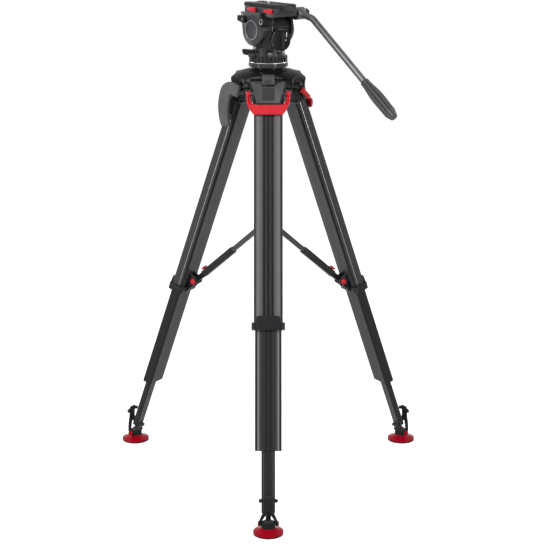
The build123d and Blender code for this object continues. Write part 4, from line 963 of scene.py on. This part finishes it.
@dataclass
class LegTrim:
    """Fine pieces of one leg, in the leg's own frame, and of its foot strap, in the foot's.

    A piece that comes twice is placed at its x and at minus its x.
    """

    side: Side
    wardrobe: Wardrobe
    tube_top: float = -48.0
    tube_end: float = -530.0
    strip_w: float = 0.9
    strip_d: float = 1.2
    strip_edge: float = 0.2
    strip_at: Span = (31.55, 5.0)
    lever_edge: float = 2.2
    lever_grain: float = 0.9
    lever_rounds: int = 6
    cheek_size: Vec3 = (3.0, 11.0, 28.0)
    cheek_edge: float = 1.4
    cheek_at: Vec3 = (46.4, -7.5, -29.0)
    cheek_lean: float = 24.0
    cap_profile: Profile = ((4.6, 0.0), (4.6, 0.6), (4.0, 1.1), (2.2, 1.1), (2.0, 0.5))
    cap_at: Vec3 = (49.0, -3.0, -20.0)
    strap_edge: float = 0.9
    wing_size: Vec3 = (20.0, 5.0, 8.0)
    wing_edge: float = 2.0
    wing_at: Vec3 = (11.0, -7.6, 80.5)
    wing_droop: float = 16.0
    inlay_size: Vec3 = (26.4, 1.0, 28.4)
    inlay_edge: float = 2.6
    inlay_at: Vec3 = (0.0, -19.85, -23.5)
    flank_size: Vec3 = (9.0, 18.0, 31.0)
    flank_edge: float = 1.5
    flank_at: Vec3 = (30.5, 2.0, -28.7)
    screw_r: float = 3.0
    screw_rise: float = 1.2
    screw_at: Vec3 = (27.0, -19.5, -538.0)

    @property
    def word(self) -> str:
        """The leg's word."""
        return self.side.word

    @property
    def leg(self) -> Matrix:
        """The leg's frame."""
        return STANCE.leg(self.side)

    @staticmethod
    def mirrored(home: Matrix, at: Vec3) -> list[Matrix]:
        """Frames at a place and its mirror place across x, the one at minus x first."""
        return [home @ shift(hand * at[0], at[1], at[2]) for hand in HANDS]

    def build_seams(self) -> None:
        """Fill the tube's side seams with bright edge strips, which stand in for the highlight along each
        seam as a painted highlight.
        """
        size = (self.strip_w, self.strip_d, self.tube_top - self.tube_end)
        places = self.mirrored(self.leg, (*self.strip_at, (self.tube_top + self.tube_end) / 2))
        strips = Bench.pair(Bench.block("strip", size, self.strip_edge, 2), places)
        seams = Bench.join(f"seam_strips_{self.word}", strips)
        fix(seams, f"leg_{self.word}", self.wardrobe.get(Finish.STRIP_GREY))

    def build_lever(self) -> None:
        """Round the brake lever's edges and broaden its arms."""
        node, name = f"brake_lever_{self.word}", f"lever_bail_{self.word}"
        places = [place @ turn(-self.cheek_lean, "X") for place in self.mirrored(self.leg, self.cheek_at)]
        cheeks = Bench.pair(Bench.block("cheek", self.cheek_size, self.cheek_edge), places)
        bail = Bench.softened(node, name, self.lever_edge, 3)
        lever = Bench.melted(Bench.join(name, [bail, *cheeks]), self.lever_grain, self.lever_rounds)
        fix(lever, f"brake_{self.word}", self.wardrobe.get(Finish.LEVER_RED), node)

    def build_caps(self) -> None:
        """Cap the brake lever's pivots."""
        places = self.mirrored(self.leg, self.cap_at)
        places = [place @ turn(90 * hand, "Y") for place, hand in zip(places, HANDS)]
        caps = Bench.pair(Bench.turned("cap", self.cap_profile, 32), places)
        both = Bench.join(f"lever_pivot_caps_{self.word}", caps)
        fix(both, f"leg_{self.word}", self.wardrobe.get(Finish.LEVER_RED))

    def build_edges(self) -> None:
        """Round the edges of the leg head, the catch, the collar and the spreader's pieces."""
        for stem, body, slot, width in (
            ("leg_head", "leg", "leg_head_plastic", 0.6),
            ("angle_catch", "catch", "black_plastic", 0.8),
            ("leg_collar", "leg", "leg_head_plastic", 0.7),
            ("release_knob", "release", "red_plastic", 0.8),
            ("spreader_sleeve", "arm", "black_plastic", 0.5),
            ("length_button", "button", "red_plastic", 0.8),
        ):
            node = f"{stem}_{self.word}"
            piece = Bench.softened(node, f"soft_{node}", width)
            fix(piece, f"{body}_{self.word}", self.wardrobe.for_leg(stem, self.side), node)

    def build_strap(self) -> None:
        """Round the foot strap's edges and spread two drooping wings from its pull tab."""
        node, name = f"foot_strap_{self.word}", f"strap_band_{self.word}"
        places = self.mirrored(STANCE.foot(self.side), self.wing_at)
        places = [place @ turn(self.wing_droop * hand, "Y") for place, hand in zip(places, HANDS)]
        wings = Bench.pair(Bench.block("wing", self.wing_size, self.wing_edge), places)
        strap = Bench.join(name, [Bench.softened(node, name, self.strap_edge), *wings])
        fix(strap, f"strap_{self.word}", self.wardrobe.get(Finish.RUBBER), node)

    def build_panel(self) -> None:
        """Inlay the cover's dark panel and fill the leg head's flanks beside its core."""
        inlay = Bench.block(f"cover_panel_{self.word}", self.inlay_size, self.inlay_edge, 4)
        Bench.settle(inlay, self.leg @ shift(*self.inlay_at))
        block = Bench.block("flank", self.flank_size, self.flank_edge)
        sides = Bench.pair(block, self.mirrored(self.leg, self.flank_at))
        flanks = Bench.join(f"head_flanks_{self.word}", sides)
        for piece, finish in ((inlay, Finish.PANEL_GREY), (flanks, Finish.MATT_BLACK)):
            fix(piece, f"leg_{self.word}", self.wardrobe.get(finish))

    def build_screws(self) -> None:
        """Set two socket screws in the collar's outer face."""
        places = [place @ turn(90, "X") for place in self.mirrored(self.leg, self.screw_at)]
        screws = Bench.pair(socket_screw(self.screw_r, self.screw_rise), places)
        both = Bench.join(f"collar_screws_{self.word}", screws)
        fix(both, f"leg_{self.word}", self.wardrobe.get(Finish.CAST_BLACK))

    def build(self) -> None:
        """Build all of the leg's trim."""
        self.build_seams()
        self.build_lever()
        self.build_caps()
        self.build_edges()
        self.build_strap()
        self.build_panel()
        self.build_screws()


def socket_screw(radius: float, rise: float, edge: float = 0.3, root: float = 0.4) -> Piece:
    """A round screw head with a hexagon socket half as wide, standing on +Z.

    Args:
        radius: The head's radius, in millimetres.
        rise: How far it stands proud, in millimetres.
        edge: Bevel of its upper edge, in millimetres.
        root: How deep it is let in, in millimetres.

    Returns:
        The head.
    """
    head = Bench.turned("screw", ((radius, -root), (radius, rise - edge), (radius - edge, rise)), 32)
    socket_r, socket_floor = radius / 2, rise * 0.3
    key = Bench.turned("key", ((socket_r, socket_floor), (socket_r, 2 * rise)), 6)
    return Bench.clean(Bench.cut(head, key))


@dataclass
class CrownTrim:
    """Fine pieces of the crown, the spreader's hub and the carry handle."""

    wardrobe: Wardrobe
    handle_grain: float = 1.0
    handle_rounds: int = 14

    def build(self) -> None:
        """Round the edges of the crown, the hub and the clamp knob, and all of the carry handle."""
        for node, body, slot, width in (
            ("spider", "crown", "crown_metal", 0.8),
            ("spreader_hub", "hub", "crown_metal", 0.6),
            ("carry_handle", "leg_left", "grip_rubber", 2.5),
            ("clamp_knob", "clamp", "black_plastic", 0.8),
        ):
            piece = Bench.softened(node, f"soft_{node}", width, 3)
            if node == "carry_handle":
                Bench.melted(piece, self.handle_grain, self.handle_rounds)
            fix(piece, body, self.wardrobe.for_head(node), node)


@dataclass
class HeadTrim:
    """Fine pieces of the fluid head, in the head's frame."""

    wardrobe: Wardrobe
    moulded: tuple[str, ...] = ("pan_brake", "tilt_brake", "plate_lock", "plate_release")
    lever_grain: float = 0.5
    lever_rounds: int = 8
    paddle_size: Vec3 = (10.0, 19.0, 13.0)
    paddle_edge: float = 4.0
    paddle_at: Vec3 = (-50.5, 15.0, 33.4)
    base_r: float = 44.8
    base_h: float = 11.0
    dial_at: Vec3 = (5.0, -45.0, 60.5)
    boss_y: float = -38.0
    mark_size: Vec3 = (1.7, 0.7, 12.0)
    mark_edge: float = 0.25
    mark_at: Vec3 = (11.5, -0.1, 11.8)
    dot_profile: Profile = ((1.7, -0.4), (1.7, 0.25), (1.4, 0.4))
    dot_x: float = 9.5
    cap_x: float = -48.3
    drum_x: float = -12.0
    tilt_z: float = 83.0
    knob_at: Vec3 = (-50.0, -37.0, 104.0)
    line_root: float = 0.3
    line_edge: float = 0.1
    core_half: float = 1.0

    def build_edges(self) -> None:
        """Round the edges of the head's solids, and give the pan brake its paddle."""
        for node, body, slot, width in (
            ("pan_body", "pan", "head_metal", 0.6),
            ("tilt_table", "tilt", "head_metal", 0.7),
            ("camera_plate", "plate", "head_metal", 0.6),
            ("balance_dial", "dial", "black_plastic", 0.8),
            ("tilt_drag_knob", "drag_knob", "black_plastic", 0.8),
            ("pan_brake", "pan_brake_lever", "black_plastic", 1.2),
            ("tilt_brake", "tilt_brake_lever", "black_plastic", 1.2),
            ("plate_lock", "lock", "red_plastic", 2.0),
            ("plate_release", "plate_release_lever", "red_plastic", 2.0),
            ("drag_ring", "drag", "black_plastic", 0.4),
            ("bar_clamp", "bar_knob", "black_plastic", 0.8),
            ("pan_bar", "bar", "arm_metal", 0.4),
            ("grip", "bar", "grip_rubber", 0.5),
        ):
            piece = Bench.softened(node, f"soft_{node}", width)
            if node == "pan_brake":
                paddle = Bench.block("paddle", self.paddle_size, self.paddle_edge, 4)
                Bench.settle(paddle, STANCE.head() @ shift(*self.paddle_at))
                piece = Bench.join(f"soft_{node}", [piece, paddle])
            if node in self.moulded:
                Bench.melted(piece, self.lever_grain, self.lever_rounds)
            fix(piece, body, self.wardrobe.for_head(node), node)

    def build_ring(self) -> None:
        """Lay a bright line on the base ring's upper edge, a painted highlight standing in for the reflection
        along it.
        """
        rings = ((-1.0, -1.4), (0.0, -1.2), (0.0, -0.5), (-0.6, 0.15))
        profile = tuple((self.base_r + out, self.base_h + up) for out, up in rings)
        line = Bench.settle(Bench.turned("base_bright_line", profile), STANCE.head())
        fix(line, "ball", self.wardrobe.get(Finish.BRIGHT_STEEL))

    def build_marks(self) -> None:
        """Set the pale index bar and dot on the balance dial."""
        bar = Bench.block("bar", self.mark_size, self.mark_edge, 2)
        Bench.settle(bar, shift(*self.mark_at))
        dot = Bench.turned("dot", self.dot_profile, 24)
        Bench.settle(dot, shift(self.dot_x, 0, 0) @ turn(90, "X"))
        marks = Bench.join("dial_marks", [bar, dot])
        Bench.settle(marks, STANCE.head() @ shift(*self.dial_at))
        fix(marks, "dial", self.wardrobe.get(Finish.PALE_MARK))

    def build_lines(self) -> None:
        """Lay fine bright rings on the cheek's cap, the dial's boss, the drum and the drag knob's end; the
        drum's ring is a painted highlight on its seam.
        """
        along, ahead = turn(-90, "Y"), turn(90, "X")
        cap, drum = (self.cap_x, 0.0, self.tilt_z), (self.drum_x, 0.0, self.tilt_z)
        boss = (self.dial_at[0], self.boss_y, self.dial_at[2])
        for name, body, slot, inner, outer, rise, spot, facing in (
            ("cap_line", "tilt", "head_metal", 20.7, 21.7, 0.15, cap, along),
            ("boss_line", "pan", "head_metal", 23.8, 24.8, 0.15, boss, ahead),
            # Painted highlight: a bright ring where the drum's seam catches the light.
            ("drum_line", "pan", "head_metal", 29.5, 30.9, 0.7, drum, along),
            ("knob_line", "drag_knob", "black_plastic", 4.5, 6.0, 0.15, self.knob_at, along),
        ):
            edge = self.line_edge
            profile = ((outer, -self.line_root), (outer, rise - edge), (outer - edge, rise))
            core = Bench.turned("core", ((inner, -self.core_half), (inner, self.core_half)))
            ring = Bench.cut(Bench.turned(name, profile), core)
            Bench.settle(ring, STANCE.head() @ shift(*spot) @ facing)
            fix(ring, body, self.wardrobe.get(Finish.STRIP_GREY))

    def build(self) -> None:
        """Build all of the head's trim."""
        self.build_edges()
        self.build_ring()
        self.build_marks()
        self.build_lines()


@dataclass(frozen=True)
class Lamp:
    """One soft box: where it hangs and its width and height, in metres, and its power in watts."""

    name: str
    at: Vec3
    size: Span
    watts: float

    def build(self, aim: Vec3) -> None:
        """Hang the lamp.

        Args:
            aim: The point it faces, in metres.
        """
        data = bpy.data.lights.new(self.name, "AREA")
        data.shape = "RECTANGLE"
        data.size, data.size_y = self.size
        data.energy = self.watts
        lamp = bpy.data.objects.new(self.name, data)
        lamp.location = self.at
        lamp.rotation_euler = (Vector(aim) - Vector(self.at)).to_track_quat("-Z", "Y").to_euler()
        bpy.context.scene.collection.objects.link(lamp)


# A key at the left, a fill, a top lamp, two low strips for the round faces and two rim lamps
LAMPS = (
    Lamp("key", (-2.3, -2.0, 2.9), (0.45, 1.2), 120.0),
    Lamp("fill", (2.6, -2.2, 1.6), (0.3, 1.6), 40.0),
    Lamp("top", (0.5, -1.9, 3.1), (0.9, 0.6), 26.0),
    Lamp("strip_left", (-2.6, -1.5, 0.8), (0.2, 1.5), 16.0),
    Lamp("strip_right", (2.0, -2.3, 0.8), (0.2, 1.5), 16.0),
    Lamp("rim_left", (-2.2, 1.8, 1.9), (0.3, 1.8), 40.0),
    Lamp("rim_right", (2.2, 1.7, 1.9), (0.3, 1.8), 40.0),
)


@dataclass(frozen=True)
class Studio:
    """Floor, light and camera."""

    lens: float = 103.42
    sensor: float = 36.0
    camera_at: Vec3 = (0.0, -3472.25, 1411.0)
    pitch: float = 14.63
    shift_x: float = 0.0122
    floor_half: float = 40000.0
    speck_mm: float = 40.0
    paper: Span = (0.49, 0.51)
    paper_roughness: float = 0.95
    glow_reach: Span = (1000.0, 3000.0)
    glow: Span = (0.78, 0.93)
    surround: Span = (0.16, 1.0)
    lamp_aim_m: Vec3 = (0.0, 0.1, 0.75)

    def build_floor(self) -> None:
        """Lay a pale floor that is white to the camera and keeps shadows."""
        bpy.ops.object.select_all(action="DESELECT")
        bpy.ops.mesh.primitive_plane_add(size=2 * self.floor_half * MM)
        floor = bpy.context.active_object
        floor.name = "floor"
        graph = Graph("floor_paper")
        across, away, _ = graph.parts()
        square = graph.calc("ADD", graph.calc("MULTIPLY", across, across), graph.calc("MULTIPLY", away, away))
        near, far = self.glow_reach
        glow = graph.span(graph.calc("SQRT", square), (near * MM, far * MM), self.glow)
        white = (1.0, 1.0, 1.0)
        graph.surface({
            "Base Color": graph.mix(graph.noise(self.speck_mm), *(shade(white, tone) for tone in self.paper)),
            "Roughness": self.paper_roughness,
            "Specular IOR Level": 0.0,
            "Emission Color": shade(white, 1.0),
            "Emission Strength": graph.calc("MULTIPLY", self.seen(graph.tree), glow),
        })
        dress(floor, graph.material)

    @staticmethod
    def seen(tree: bpy.types.NodeTree) -> Socket:
        """Tell the rays that show the surround from those that light the object.

        Args:
            tree: The floor's or the world's nodes.

        Returns:
            1 for camera, glossy and transmission rays, 0 for the rest.
        """
        path = tree.nodes.new("ShaderNodeLightPath")
        total = path.outputs["Is Camera Ray"]
        for word in ("Is Glossy Ray", "Is Transmission Ray"):
            node = tree.nodes.new("ShaderNodeMath")
            node.operation = "MAXIMUM"
            tree.links.new(total, node.inputs[0])
            tree.links.new(path.outputs[word], node.inputs[1])
            total = node.outputs["Value"]
        return total

    def build_world(self) -> None:
        """Make a surround that is white to the camera and in reflections, and a softer fill."""
        world = bpy.data.worlds.new("surround")
        world.use_nodes = True
        bpy.context.scene.world = world
        tree = world.node_tree
        background = tree.nodes["Background"]
        background.inputs["Color"].default_value = (1, 1, 1, 1)
        node = tree.nodes.new("ShaderNodeMapRange")
        tree.links.new(self.seen(tree), node.inputs["Value"])
        for word, level in zip(("To Min", "To Max"), self.surround):
            node.inputs[word].default_value = level
        tree.links.new(node.outputs["Result"], background.inputs["Strength"])

    def build_camera(self) -> None:
        """Stand the camera at the photograph's place."""
        data = bpy.data.cameras.new("view")
        data.sensor_width = self.sensor
        data.lens = self.lens
        data.shift_x = self.shift_x
        camera = bpy.data.objects.new("view", data)
        camera.location = tuple(c * MM for c in self.camera_at)
        camera.rotation_euler = (math.radians(90 - self.pitch), 0, 0)
        bpy.context.scene.collection.objects.link(camera)
        bpy.context.scene.camera = camera

    def build(self) -> None:
        """Build the studio."""
        bpy.context.scene.view_settings.view_transform = "Standard"
        self.build_floor()
        self.build_world()
        for lamp in LAMPS:
            lamp.build(self.lamp_aim_m)
        self.build_camera()


def main() -> None:
    """Build the studio, dress the solids and add the fine pieces."""
    logging.basicConfig(level=logging.INFO, format="%(message)s")
    Studio().build()
    wardrobe = Wardrobe()
    wardrobe.dress_solids()
    for side in Side:
        LegTrim(side, wardrobe).build()
    CrownTrim(wardrobe).build()
    HeadTrim(wardrobe).build()


if __name__ == "__main__":
    main()
